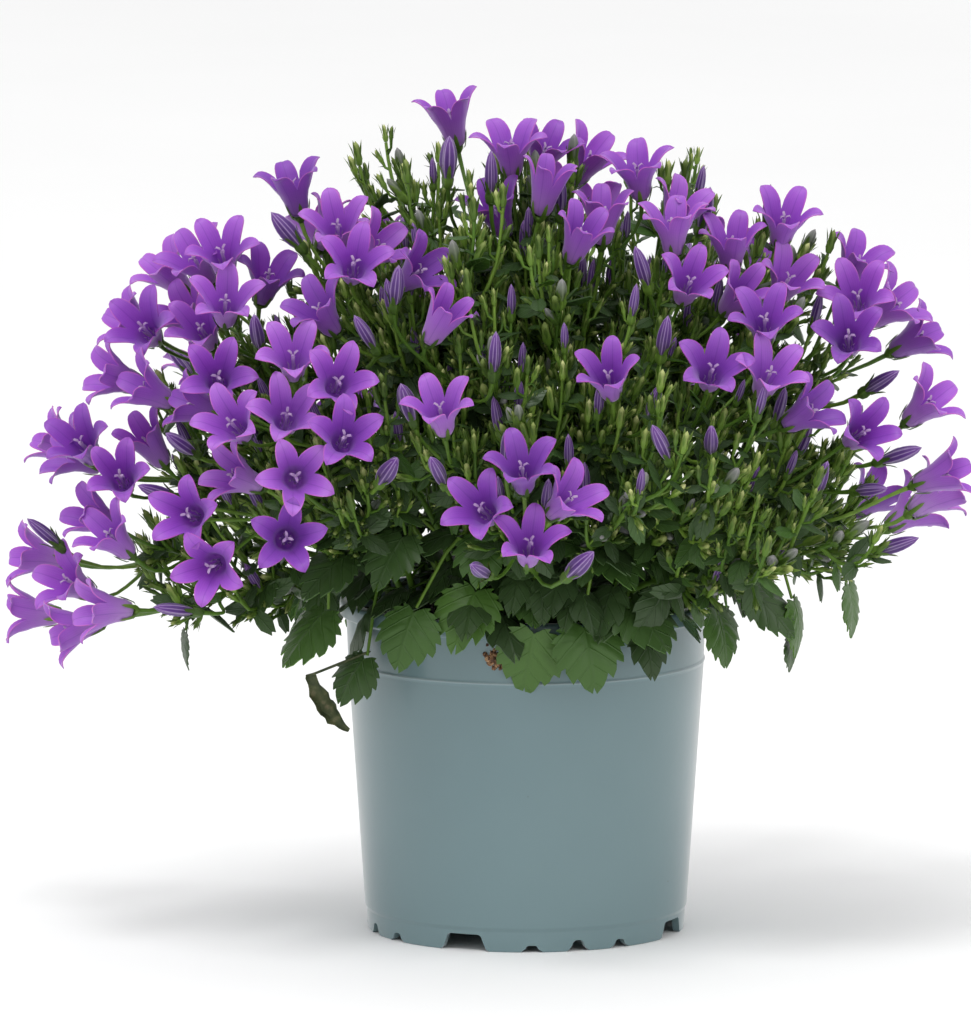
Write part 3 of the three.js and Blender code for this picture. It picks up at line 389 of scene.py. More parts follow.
CLUMPS = [
    ("stems_peak", [
        [(-18, 189, -60, 75, 0.8, 0), (-14, 177, 10, 80, 0.2, 0), (-9, 172, -40, 60, 0.8, 8)],
        [(-4, 180, -10, 72, 1, 0), (3, 172, 60, 75, 0.5, 0), (9, 180, 40, 60, 0.8, 14),
         (-7, 174, 0, 80, 0, 0)]]),
    ("stems_top_left", [
        [(-51, 170, -55, 75, 0.9, 0), (-56, 161, -80, 50, 0.2, 0), (-46, 166, 60, 60, 0.7, 12)],
        [(-43, 161, -10, 50, 0.9, 6), (-35, 158, 60, 40, 0.9, 8), (-35, 141, -40, 50, 0, 0)]]),
    ("stems_top_right", [
        [(23, 173, -20, 70, 1, 0), (19, 168, 15, 78, 0.7, 4), (13, 179, 60, 55, 0.8, 18),
         (13, 160, 40, 60, 0.6, 0)],
        [(33, 163, -15, 78, 0.9, 0), (40, 165, 55, 60, 0.8, 8), (45, 168, 40, 70, 0.25, 10)],
        [(52, 168, 20, 75, 0, 4), (46, 160, 0, 70, 0.8, 6), (25, 154, -30, 60, 0, 0)]]),
    ("stems_right_shoulder", [
        [(57, 161, 15, 60, 0.9, 0), (60, 154, 35, 48, 0.9, 5)],
        [(38, 149, 20, 42, 0.8, 5), (49, 147, 35, 40, 0.5, 8), (34, 136, 15, 60, 0, 0)]]),
    ("stems_right_far", [
        [(78, 154, 55, 55, 0.9, 0), (75, 145, -5, 42, 1, 0), (86, 144, 70, 35, 1, 0), (73, 134, 0, 35, 1, 0),
         (91, 138, 80, 30, 0.9, 6), (83, 127, 50, 30, 0, 0)]]),
    ("stems_right_low", [
        [(93, 122, 62, 42, 0.9, 0), (89, 109, 60, 20, 0, 0)],
        [(78, 110, 30, 25, 0.8, 0), (67, 109, 20, 50, 0, 0), (80, 104, 40, 10, 0, 0)],
        [(95, 106, 75, 22, 0.7, 0), (86, 91, 60, 20, 0, 0)]]),
    ("stems_right_front", [
        [(54, 139, 0, 50, 1, 0), (44, 128, 10, 40, 1, 0), (54, 128, 25, 48, 1, 0), (63, 120, 65, 30, 0.9, 0),
         (28, 119, -30, 50, 0, 0), (40, 114, 0, 40, 0, 0)]]),
    ("stems_left_crown", [
        [(-67, 154, -10, 52, 1, 0), (-77, 152, -45, 50, 1, 0), (-85, 150, -68, 48, 0.9, 0),
         (-67, 145, 0, 50, 1, 0), (-60, 153, 30, 60, 0.9, 12), (-61, 139, -10, 50, 0, 0)]]),
    ("stems_left_shoulder", [
        [(-91, 142, -75, 32, 0.9, 0), (-85, 136, -25, 32, 1, 0), (-81, 145, -55, 45, 0.9, 8),
         (-76, 139, -20, 40, 0.8, 8)],
        [(-93, 128, -75, 20, 0.9, 0), (-87, 121, -70, 30, 0.8, 5), (-80, 115, -40, 30, 0, 0)]]),
    ("stems_left_inner", [
        [(-37, 147, 5, 38, 1, 0), (-25, 151, 50, 32, 0.9, 6), (-46, 144, -50, 48, 0.9, 2)],
        [(-24, 142, 45, 52, 0.4, 0), (-29, 143, 10, 60, 0, 0), (-11, 137, 10, 70, 0, 0)]]),
    ("stems_left_face", [
        [(-70, 125, 0, 25, 1, 0), (-67, 115, -28, 32, 1, 0), (-84, 118, -85, 20, 0.8, 4)],
        [(-54, 134, 0, 48, 1, 0), (-54, 120, 5, 36, 1, 0), (-42, 129, 10, 27, 1, 0),
         (-40, 115, 10, 27, 1, 0), (-31, 108, 30, 40, 0.2, 8)]]),
    ("stems_left_low", [
        [(-52, 104, 5, 14, 1, 0), (-54, 90, 5, 12, 1, 0)],
        [(-76, 97, -20, 14, 1, 0), (-72, 83, -15, 0, 1, 0), (-69, 107, -60, 25, 0.8, 4),
         (-86, 102, -50, 20, 0, 0)]]),
    ("stems_middle", [
        [(-21, 120, -15, 58, 1, 0), (-27, 123, -30, 60, 0.2, 6), (-18, 105, -20, 40, 0, 0)]]),
    ("stems_middle_right", [
        [(22, 125, -10, 48, 0.8, 0), (29, 121, 20, 50, 0, 2)]]),
    ("stems_front", [
        [(-3, 107, -5, 52, 1, 0), (-12, 99, -22, 28, 1, 0), (0, 90, 5, 46, 1, 0), (11, 99, 48, 36, 1, 0),
         (13, 87, 45, 38, 0.3, 0), (-4, 111, 0, 60, 0, 6), (-11, 86, -20, 20, 0, 0)]]),
    ("stems_far_left", [
        [(-105, 110, -75, 25, 1, 0), (-98, 112, -30, 40, 0.9, 2), (-110, 113, -80, 30, 0.8, 6),
         (-91, 117, -50, 50, 0.5, 8), (-94, 106, -10, 30, 0.8, 4)],
        [(-109, 84, -55, 28, 1, 0), (-116, 84, -80, 15, 0.9, 4), (-100, 98, -70, 30, 0.8, 4),
         (-96, 92, -55, 42, 0.9, 0), (-110, 88, -60, 40, 0, -4)],
        [(-98, 74, -70, 5, 0.8, 0), (-109, 69, -80, -12, 0.9, 0), (-117, 75, -88, 5, 0.8, 4),
         (-83, 74, -60, 10, 0, 0)]]),
]

# Spikes of green buds with no open bloom, by the place of their tips in the same view
BUD_SPIKES = [
    ("buds_left_peak", [(-30, 181, 8), (-25, 166, 0)]),
    ("buds_peak", [(11, 183, 3), (2, 180, -2), (37, 176, 24)]),
    ("buds_right_shoulder", [(67, 162, 4), (64, 146, 2)]),
    ("buds_middle_high", [(-17, 158, 0), (-8, 136, 0), (8, 149, 0)]),
    ("buds_middle_low", [(20, 134, 4), (-2, 121, 0), (27, 105, 0)]),
    ("buds_right_low", [(48, 106, 0), (62, 88, 0), (78, 94, 0)]),
]

# Large leaves, read in the same view: distance across, height, distance from the axis towards the viewer,
# size, and how the tip points (degrees from straight down, then degrees out of the picture)
LARGE_LEAVES = [
    (14, 66, 48, 15, 8, 30), (1, 65, 46, 14, -12, 12), (26, 73, 46, 15, 30, 50), (-13, 75, 48, 14, -20, 45),
    (-27, 70, 47, 14, -10, 35), (-39, 60, 34, 12, -25, 30), (1, 77, 40, 10, 5, 60),
    (-49, 70, 34, 16, -20, 40), (-44, 84, 40, 14, -40, 50), (45, 70, 28, 13, 5, 25),
    (54, 76, 30, 15, 40, 40), (63, 73, 24, 11, 20, 20), (61, 65, 20, 8, 10, 10), (75, 76, 22, 12, 8, 15),
    (-61, 78, 24, 12, -30, 35), (-79, 66, 20, 8, -10, 10), (-30, 88, 50, 13, -20, 55),
    (20, 86, 48, 13, 20, 55), (38, 84, 40, 13, 35, 50), (-10, 88, 50, 12, 0, 60),
]
BACK_LEAVES = 15

# Heads on the far side, in heads spread by the golden share over the back of the dome
BACK_CLUMPS = 4
BACK_YAW = (118, 242)
BACK_PITCH = (6, 60)
GOLDEN_SHARE = 0.618034
BACK_REACH = np.array((104, 92, 103.5))

seed = 20


def chance(low=0.0, high=1.0):
    """A fixed run of random numbers, the same as the solids have."""
    global seed
    seed = (seed * 16807) % 2147483647
    return low + (high - low) * (seed / 2147483647)


def unit(v):
    return v / math.sqrt(v @ v)


def facing_of(yaw, pitch):
    level = math.cos(math.radians(pitch))
    turn = math.radians(yaw)
    return np.array((level * math.sin(turn), -level * math.cos(turn), math.sin(math.radians(pitch))))


def place_of(across, height, deeper):
    """A point of the dome's near surface from its place in the picture."""
    lift = math.tan(VIEW_TILT)
    rise = height / math.cos(VIEW_TILT) - DOME.base
    a = 1 / DOME.deep ** 2 + (lift / DOME.tall) ** 2
    b = (-2 * rise * lift) / DOME.tall ** 2
    c = (across / DOME.across) ** 2 + (rise / DOME.tall) ** 2 - 1
    y = (-b - math.sqrt(max(0, b * b - 4 * a * c))) / (2 * a) + deeper
    return np.array((across, y, (height - y * math.sin(VIEW_TILT)) / math.cos(VIEW_TILT)))


OPEN_ENOUGH = 0.35


def is_open(bloom):
    return bloom.open > OPEN_ENOUGH


def hidden_clump(index):
    heads = []
    for half in (0, 1):
        turn = index * 2 + half
        yaw = BACK_YAW[0] + (BACK_YAW[1] - BACK_YAW[0]) * turn / (2 * BACK_CLUMPS - 1)
        pitch = BACK_PITCH[0] + BACK_PITCH[1] * ((turn * GOLDEN_SHARE + 0.1) % 1)
        head = []
        for side in (-1, 0, 1):
            out = facing_of(yaw + side * 9 + chance(-2, 2), pitch + chance(-4, 4))
            mouth = out * BACK_REACH + (0, 0, DOME.base)
            closed = side == 1 and half == 1
            head.append(Thing(mouth=mouth, facing=unit(0.7 * out + 0.3 * UP), open=0 if closed else 1))
        heads.append(head)
    return f"stems_back_{index + 1}", heads


def axis_frame(axis, roll=0.0):
    """The turn that takes Z to the axis the short way, then a roll about it, as a matrix of columns."""
    w, x, y = 1 + axis[2], -axis[1], axis[0]
    size = math.sqrt(w * w + x * x + y * y)
    w, x, y = w / size, x / size, y / size
    turn = np.array((
        (1 - 2 * y * y, 2 * x * y, 2 * w * y),
        (2 * x * y, 1 - 2 * x * x, -2 * w * x),
        (-2 * w * y, 2 * w * x, 1 - 2 * (x * x + y * y)),
    ))
    c, s = math.cos(math.radians(roll)), math.sin(math.radians(roll))
    return turn @ np.array(((c, -s, 0), (s, c, 0), (0, 0, 1)))


# Blooms that would lie in each other move apart, and each turns one lobe towards its nearest neighbour
BLOOM_SPACING = 14
TOUCHING = 15
REACH_OUT = 23


def draw_together(head):
    for i, bloom in enumerate(head):
        others = [other for other in head[:i] if is_open(other)]
        if not is_open(bloom) or not others:
            continue
        nearest = min(others, key=lambda other: math.dist(other.mouth, bloom.mouth))
        away = math.dist(nearest.mouth, bloom.mouth)
        pull = (away - TOUCHING) / 2
        if pull > 0 and away < REACH_OUT:
            towards = unit(nearest.mouth - bloom.mouth)
            bloom.mouth = bloom.mouth + towards * pull * 1.6
            nearest.mouth = nearest.mouth - towards * pull * 0.4


def kept_apart(points, spacing, rounds, hold=None):
    """Pairs that are too close push each other apart, round after round."""
    for _ in range(rounds):
        for i in range(len(points)):
            for j in range(i):
                away = math.dist(points[i], points[j])
                if away < spacing:
                    push = (points[i] - points[j]) / away * (spacing - away) / 2
                    points[i] = points[i] + push
                    points[j] = points[j] - push
        if hold:
            points[:] = [hold(p) for p in points]
    return points


def spread_blooms(blooms):
    for bloom, mouth in zip(blooms, kept_apart([b.mouth for b in blooms], BLOOM_SPACING, 12)):
        bloom.mouth = mouth
    for bloom in blooms:
        bloom.base = bloom.mouth - BLOOM_LENGTH * bloom.facing
        others = [other for other in blooms if other is not bloom]
        nearest = min(others, key=lambda other: math.dist(other.mouth, bloom.mouth))
        near = axis_frame(bloom.facing).T @ (nearest.mouth - bloom.base)
        bloom.roll = math.degrees(math.atan2(near[1], near[0]))


FORK_BELOW_MANY = 17
FORK_BELOW_ONE = 12
SPIKE_TIP = 7


def head_of(blooms):
    """A head is the fork that its blooms branch from, and the way it grows there."""
    middle = sum(bloom.base for bloom in blooms) / len(blooms)
    grows = unit(middle - HEART)
    drop = FORK_BELOW_MANY if len(blooms) > 1 else FORK_BELOW_ONE
    return Thing(blooms=blooms, grows=grows, fork=middle - drop * grows)


def spike_of(across, height, deeper):
    tip = place_of(across, height, deeper)
    grows = unit(0.65 * unit(tip - HEART) + 0.35 * UP)
    return Thing(blooms=[], grows=grows, fork=tip - SPIKE_TIP * grows)


ROOT_SPACING = 10
ROOT_LIMIT = 33
ROOT_INSET = 3
ROOT_SHARE = 0.42


def roots_of(clumps):
    """Each clump stands in the peat under the middle of its heads, drawn in towards the pot's axis."""
    roots = []
    for clump in clumps:
        middle = sum(head.fork for head in clump.heads) / len(clump.heads)
        reach = math.hypot(middle[0], middle[1])
        radius = min(ROOT_LIMIT, ROOT_INSET + ROOT_SHARE * reach)
        ends = (middle[0] / reach * radius, middle[1] / reach * radius, SOIL_TOP - ROOT_DEPTH)
        roots.append(np.array(ends))

    def inside(root):
        share = min(1, ROOT_LIMIT / math.hypot(root[0], root[1]))
        return root * (share, share, 1)

    return kept_apart(roots, ROOT_SPACING, 80, inside)


# Room: what has been placed, as balls, each with its owner. What grows later keeps clear of the pot, the
# peat and every ball of another owner. Clumps own balls by their number, and blooms from FIRST_BLOOM on.
CLEARANCE = 0.45
STEP = 1.4
REACH_OF_BALLS = 9.0
MOST_BALLS = 60000
FIRST_BLOOM = 1000
balls = Thing(count=0, places=np.zeros((MOST_BALLS, 3)), radii=np.zeros(MOST_BALLS),
              owners=np.zeros(MOST_BALLS, int))


def add_balls(points, radius, owner):
    last = balls.count + len(points)
    balls.places[balls.count:last] = points
    balls.radii[balls.count:last] = radius
    balls.owners[balls.count:last] = owner
    balls.count = last


def room_for(points, radius, owner, friend=-1, least=0):
    """How far the points stay clear of the pot, the peat, and the balls of other owners from `least` on."""
    points = np.asarray(points)
    reach = np.hypot(points[:, 0], points[:, 1])
    over = np.hypot(np.maximum(0, reach - RIM_RADIUS), np.maximum(0, points[:, 2] - POT_HEIGHT))
    over[over == 0] = -1
    room = np.where(reach < LIP_RADIUS - WALL, points[:, 2] - SOIL_TOP, over).min() - radius
    places = balls.places[:balls.count]
    owners = balls.owners[:balls.count]
    near = ((places > points.min(0) - REACH_OF_BALLS) & (places < points.max(0) + REACH_OF_BALLS)).all(1)
    near &= (owners != owner) & (owners != friend) & (owners >= least)
    if near.any():
        away = np.linalg.norm(points[:, None] - places[near][None], axis=2) - balls.radii[:balls.count][near]
        room = min(room, away.min() - radius)
    return room


def along_path(points):
    dense = []
    for before, after in zip(points, points[1:]):
        count = max(1, math.ceil(math.dist(before, after) / STEP))
        dense += [before + (after - before) * k / count for k in range(count)]
    return np.array([*dense, points[-1]])


class Bend:
    """A cubic curve from its four control points, with its places given by the share of its length."""

    shares = np.linspace(0, 1, 201)

    def __init__(self, start, leave, arrive, end):
        self.points = np.array((start, leave, arrive, end))
        spots = self.raw(self.shares)
        self.lengths = np.concatenate([[0], np.cumsum(np.linalg.norm(np.diff(spots, axis=0), axis=1))])

    def raw(self, t):
        t = np.asarray(t)[..., None]
        a, b, c, d = self.points
        return (1 - t) ** 3 * a + 3 * t * (1 - t) ** 2 * b + 3 * t * t * (1 - t) * c + t ** 3 * d

    def parameter(self, share):
        return np.interp(np.asarray(share) * self.lengths[-1], self.lengths, self.shares)

    def at(self, share):
        return self.raw(self.parameter(share))

    def tangent(self, share):
        t = float(self.parameter(share))
        return unit(self.raw(min(1, t + 1e-4)) - self.raw(max(0, t - 1e-4)))


# Bends that a stalk tries, as millimetres sideways and up, until it is clear
BENDS = [
    (0, 0), (3, 0), (-3, 0), (0, 3), (0, -3), (6, 0), (-6, 0), (4, 4), (-4, 4), (9, 0), (-9, 0), (0, 6),
    (6, 6), (-6, 6), (12, 0), (-12, 0), (9, -4), (-9, -4), (14, 6), (-14, 6), (18, 0), (-18, 0),
]
CORNER_SHARE = 1.3


def stalk(start, leave, arrive, end, radius, steps, owner, friend=-1, skip=0, early=0.6):
    """The first bend of a stalk that is clear, or else the one with the most room."""
    side = np.cross(end - start, UP)
    side = np.array((1.0, 0, 0)) if math.sqrt(side @ side) < 1 else unit(side)
    best = None
    for across, lift in BENDS:
        shift = side * across + UP * lift
        curve = Bend(start, leave + shift * early, arrive + shift * 1.2, end)
        path = along_path(curve.at(np.linspace(0, 1, steps + 1)))
        room = room_for(path[skip:], radius * CORNER_SHARE, owner, friend)
        if best is None or room > best.room:
            best = Thing(curve=curve, path=path, room=room, owner=owner)
        if room >= CLEARANCE:
            break
    add_balls(best.path, radius * CORNER_SHARE, owner)
    return best


def polar(radius, angle, z):
    return np.array((radius * math.cos(math.radians(angle)), radius * math.sin(math.radians(angle)), z))


def lobe_tip(open_):
    """How far out and how high the tips of a bloom's five lobes reach."""
    return 4.2 + 5 * open_, 14.6 - 3.2 * open_


def bloom_balls(bloom):
    reach, height = lobe_tip(bloom.open)
    turn = axis_frame(bloom.facing, bloom.roll)
    lobes = [bloom.base + turn @ polar(reach * 0.8, 72 * n, height - 0.8) for n in range(5)]
    axis = [(2.6, 1.9), (5.5, 3.0), (8.5, 3.0 + 2.0 * bloom.open)]
    return [([bloom.base + bloom.facing * along], radius) for along, radius in axis] + [(lobes, 1.6)]


def placed_bloom(across, height, yaw, pitch, open_, deeper):
    return Thing(mouth=place_of(across, height, deeper), facing=facing_of(yaw, pitch), open=open_)


bearing = []
for name, heads in CLUMPS:
    bearing.append(Thing(name=name, heads=[[placed_bloom(*bloom) for bloom in head] for head in heads]))
for n in range(BACK_CLUMPS):
    name, heads = hidden_clump(n)
    bearing.append(Thing(name=name, heads=heads))
blooms = [bloom for clump in bearing for head in clump.heads for bloom in head if is_open(bloom)]
for clump in bearing:
    for head in clump.heads:
        draw_together(head)
spread_blooms([bloom for clump in bearing for head in clump.heads for bloom in head])
for n, bloom in enumerate(blooms):
    bloom.owner = FIRST_BLOOM + n
    for points, radius in bloom_balls(bloom):
        add_balls(points, radius, bloom.owner)
clumps = [Thing(name=c.name, heads=[head_of(head) for head in c.heads]) for c in bearing]
clumps += [Thing(name=name, heads=[spike_of(*tip) for tip in tips]) for name, tips in BUD_SPIKES]
for clump, root in zip(clumps, roots_of(clumps)):
    clump.root = root

# The stems: soft green stalks that arch out of a short crown in the peat, and thinner flower stalks that
# fork from them. These are their courses; their mesh comes with each clump's growth.
STEM_SPACING = 1.9
STAGGER = 0.4
PEDICEL_TOP = 0.97
PEDICEL_STEP = 0.05
CLOSED_BUD_MARKS = (3, 6, 9, 11)
CLOSED_BUD_ROOM = 1.8
stems, pedicels, buds, leaves = [], [], [], []


def grow_stem(head, crown, owner, place):
    """One stem from its place in the clump's crown to the fork of its head."""
    sideways = unit(np.array((-crown[1], crown[0], 0)))
    root = crown + sideways * place * STEM_SPACING + (0, 0, (2 + place) * STAGGER)
    far = math.dist(head.fork, root)
    leave = root + UP * (ROOT_DEPTH + 0.3 * far)
    arrive = head.fork - head.grows * 0.35 * far
    head.stem = stalk(root, leave, arrive, head.fork, STEM_RADIUS, 4, owner, skip=10, early=0.1)
    head.stem.head = head
    stems.append(head.stem)


def grow_pedicels(head, owner):
    """A flower stalk to each bloom of a head, each leaving the stem a little lower."""
    for n, bloom in enumerate(head.blooms):
        mark = PEDICEL_TOP - PEDICEL_STEP * n
        start = head.stem.curve.at(mark)
        far = math.dist(bloom.base, start)
        leave = start + head.stem.curve.tangent(mark) * 0.3 * far
        arrive = bloom.base - bloom.facing * 0.4 * far
        end = bloom.base - bloom.facing * 0.9
        grown = stalk(start, leave, arrive, end, PEDICEL_RADIUS, 2, owner, getattr(bloom, "owner", -1))
        grown.bloom = bloom
        bloom.clump = owner
        pedicels.append(grown)
        if not is_open(bloom):
            spots = [bloom.base + bloom.facing * along for along in CLOSED_BUD_MARKS]
            add_balls(spots, CLOSED_BUD_ROOM, owner)


for owner, clump in enumerate(clumps):
    crown = math.atan2(clump.root[1], clump.root[0])
    order = sorted(clump.heads, key=lambda head: math.sin(math.atan2(head.fork[1], head.fork[0]) - crown))
    for n, head in enumerate(order):
        grow_stem(head, clump.root, owner, n - (len(clump.heads) - 1) / 2)
for owner, clump in enumerate(clumps):
    for head in clump.heads:
        grow_pedicels(head, owner)

# The leaves' places: heart-shaped blades on long stalks near the pot, and small ones along the stems.
# Each is tried from one stem or one side after another until it is clear.
STALK_DROP = 12
STEMS_TRIED = 12
LEAST_STALK = 6
LOWEST_STALK = SOIL_TOP + 3
LARGE_BLADE_ROOM = 0.9
BLADE_ROOM = 0.8
BLADE_CENTRE = 0.45
BACK_LEAF_YAW = 100
BACK_LEAF_SWEEP = 160


def leaf_outline(teeth):
    """The rough edge of a blade one unit long, as the solids have it."""
    outline = []
    for i in range(4 * teeth):
        angle = math.radians(i * 360 / (4 * teeth))
        radius = (0.46 + 0.1 * math.cos(angle)) * (1.1 if i % 2 == 0 else 0.88)
        outline.append((radius * math.sin(angle), BLADE_CENTRE + radius * math.cos(angle)))
    return outline


def leaf_turn(along, face):
    across = unit(np.cross(along, face))
    return np.array((across, along, unit(np.cross(across, along)))).T


def leaf_balls(leaf, outline, width):
    spots = [spot for x, y in outline for spot in ((x, y), (x / 2, (y + BLADE_CENTRE) / 2))]
    spots.append((0, BLADE_CENTRE))
    turn = leaf_turn(leaf.along, leaf.face)
    flat = [(x * width, y, -(0.3 * max(0, y) ** 2 + 0.45 * x ** 2)) for x, y in spots]
    return leaf.base + leaf.size * (np.array(flat) @ turn.T)


def outward(tangent, angle):
    """A direction square to the stem, turned round it."""
    side = unit(np.cross(tangent, (0.3, 0.2, 0.93)))
    turn = math.radians(angle)
    return side * math.cos(turn) + np.cross(tangent, side) * math.sin(turn)


def near_stems(target):
    """The stems that pass nearest a point, each with the place on it where a leaf's stalk may start."""
    found = []
    for stem in stems:
        spots = [p for p in stem.path if p[2] > LOWEST_STALK and math.dist(p, target) > LEAST_STALK]
        found.append((stem, min(spots, key=lambda p: math.dist(p, target))))
    return sorted(found, key=lambda pair: math.dist(pair[1], target))[:STEMS_TRIED]


def grow_large_leaf(centre, along, face, size, outline=leaf_outline(3)):
    """A leaf at its place, or up to 6 mm further out, on the first near stem that leaves it clear."""
    outwards = unit(centre * (1, 1, 0))
    best = None
    for outer in (0, 2, 4, 6):
        base = centre - along * BLADE_CENTRE * size + outwards * outer
        for stem, point in near_stems(base + UP * STALK_DROP):
            leaf = Thing(kind="large", start=point, base=base, along=along, face=face, size=size,
                         owner=stem.owner)
            points = np.concatenate([leaf_balls(leaf, outline, 1), along_path([point, base])])
            room = room_for(points, LARGE_BLADE_ROOM, stem.owner)
            if best is None or room > best.room:
                best = Thing(leaf=leaf, points=points, room=room)
            if room >= CLEARANCE:
                break
        if best.room >= CLEARANCE:
            break
    add_balls(best.points, LARGE_BLADE_ROOM, best.leaf.owner)
    leaves.append(best.leaf)


for across, height, near, size, turn, out in LARGE_LEAVES:
    rise = (height + near * math.sin(VIEW_TILT)) / math.cos(VIEW_TILT)
    centre = np.array((across, -near, rise), float)
    outwards = unit(centre * (1, 1, 0))
    tipwards = np.array((math.sin(math.radians(turn)), 0, -math.cos(math.radians(turn))))
    along = unit(tipwards * math.cos(math.radians(out)) + outwards * math.sin(math.radians(out)))
    grow_large_leaf(centre, along, unit(outwards + 0.5 * UP), size)
for i in range(BACK_LEAVES):
    outwards = facing_of(BACK_LEAF_YAW + BACK_LEAF_SWEEP * (i + 0.5) / BACK_LEAVES, 0)
    centre = outwards * (50 + chance(0, 8))
    centre[2] = 70 + chance(-3, 12)
    grow_large_leaf(centre, unit(0.6 * outwards - 0.8 * UP), unit(outwards + 0.5 * UP), chance(11, 15))

# Buds on the spikes and small leaves on every stem, by their marks along it, each turned on from the last
TURNS = (0, 60, -60, 120, -120, 180)
NODE_TURN = 137.5
SPIKE_BUDS = (0.93, 0.82, 0.71, 0.6)
SPIKE_LEAVES = (0.42,)
STEM_LEAVES = (0.5,)
TIP_BUD = 9


def grow_along(head, owner, marks, make, target):
    """Parts along a stem, each on the first side that is clear, or left out."""
    for n, mark in enumerate(marks):
        start, tangent = head.stem.curve.at(mark), head.stem.curve.tangent(mark)
        first, size = NODE_TURN * n + chance(0, 40), chance()
        for turn in TURNS:
            piece, points, fat = make(start, tangent, outward(tangent, first + turn), size)
            if room_for(points, fat, owner) >= CLEARANCE:
                add_balls(points, fat, owner)
                piece.owner = owner
                target.append(piece)
                break


def bud_on_stem(start, tangent, side, size):
    axis = unit(tangent + side * 0.75)
    length = 6.5 + 3 * size
    points = [start + axis * length * share for share in (0.5, 0.75, 1)]
    return Thing(base=start, axis=axis, length=length), points, 1.2


def leaf_on_stem(start, tangent, side, size, outline=leaf_outline(2)):
    along = unit(tangent * 0.35 + side)
    leaf = Thing(start=start, base=start + along * 3, along=along, face=unit(tangent + UP * 0.4),
                 size=7 + 4 * size, kind="small")
    return leaf, leaf_balls(leaf, outline, 0.75), BLADE_ROOM


for owner, clump in enumerate(clumps):
    for head in clump.heads:
        spike = not head.blooms
        grow_along(head, owner, SPIKE_BUDS if spike else (), bud_on_stem, buds)
        grow_along(head, owner, SPIKE_LEAVES if spike else STEM_LEAVES, leaf_on_stem, leaves)
        if spike:
            base = head.fork + head.grows * (SPIKE_TIP - TIP_BUD)
            buds.append(Thing(base=base, axis=head.grows, length=TIP_BUD, owner=owner))


# Small forms: every repeated part of the plant is made once, in millimetres, as a closed mesh. It carries
# what its finish needs: the tissue it is, and a mark (across, along, and 1 on the inner or upper side).
STEM, LEAF, CALYX, STRIPED_BUD, PETAL, STYLE = range(6)
LUCK_SEED = 7
SMOOTH_TO = 55
luck = np.random.default_rng(LUCK_SEED)
shapes = {}


def shape(name, tissue, parts):
    """A part to repeat, from (points, faces, marks) of its closed shells."""
    points, faces, marks, tissues = [], [], [], []
    for part_points, part_faces, part_marks, *own in parts:
        faces += [[c + len(points) for c in face] for face in part_faces]
        points += [tuple(p) for p in np.asarray(part_points) * MM]
        marks += [tuple(m) for m in part_marks]
        tissues += [own[0] if own else tissue] * len(part_points)
    mesh = bpy.data.meshes.new(name)
    mesh.from_pydata(points, [], faces)
    mesh.attributes.new("mark", "FLOAT_VECTOR", "POINT").data.foreach_set("vector", np.ravel(marks))
    mesh.attributes.new("tissue", "INT", "POINT").data.foreach_set("value", tissues)
    mesh.polygons.foreach_set("use_smooth", [True] * len(faces))
    mesh.set_sharp_from_angle(angle=math.radians(SMOOTH_TO))
    shapes[name] = bpy.data.objects.new(name, mesh)


def shell(points, faces, marks, thickness):
    """An open sheet becomes a closed one: a second side below it, and a rim between the two."""
    points = np.asarray(points, float)
    normals = np.zeros_like(points)
    uses = {}
    for face in faces:
        a, b, c = (points[i] for i in face[:3])
        normal = np.cross(b - a, c - a) if len(face) == 3 else np.cross(c - a, points[face[3]] - b)
        for n, corner in enumerate(face):
            normals[corner] += normal
            uses.setdefault(frozenset((corner, face[n - 1])), []).append((face[n - 1], corner))
    normals /= np.linalg.norm(normals, axis=1)[:, None] + 1e-12
    count = len(points)
    rim = [pairs[0] for pairs in uses.values() if len(pairs) == 1]
    both = np.concatenate([points, points - normals * thickness])
    all_faces = [list(f) for f in faces] + [[c + count for c in reversed(f)] for f in faces]
    all_faces += [[b, a, a + count, b + count] for a, b in rim]
    marks = np.asarray(marks, float)
    under = marks.copy()
    under[:, 2] = 1 - under[:, 2]
    return both, all_faces, np.concatenate([marks, under])


def round_body(profile, sides, pleats=0, depth=0.0):
    """A closed body round Z from (radius, height) pairs whose ends are poles, with pleats if it has them."""
    points, faces, marks = [], [], []
    last = len(profile) - 1
    for row, (radius, height) in enumerate(profile):
        share = row / last
        for k in range(sides if 0 < row < last else 1):
            angle = 2 * math.pi * k / sides
            fold = math.cos(pleats * angle)
            wide = radius * (1 + depth * fold * math.sin(math.pi * share) ** 0.5)
            points.append((wide * math.cos(angle), wide * math.sin(angle), height))
            marks.append((fold, share, 0))
    for row in range(last):
        low = 0 if row == 0 else 1 + (row - 1) * sides
        high = 1 + row * sides
        for k in range(sides):
            after = (k + 1) % sides
            if row == 0:
                faces.append([0, high + after, high + k])
            elif row == last - 1:
                faces.append([low + k, low + after, high])
            else:
                faces.append([low + k, low + after, high + after, high + k])
    return np.array(points), faces, marks


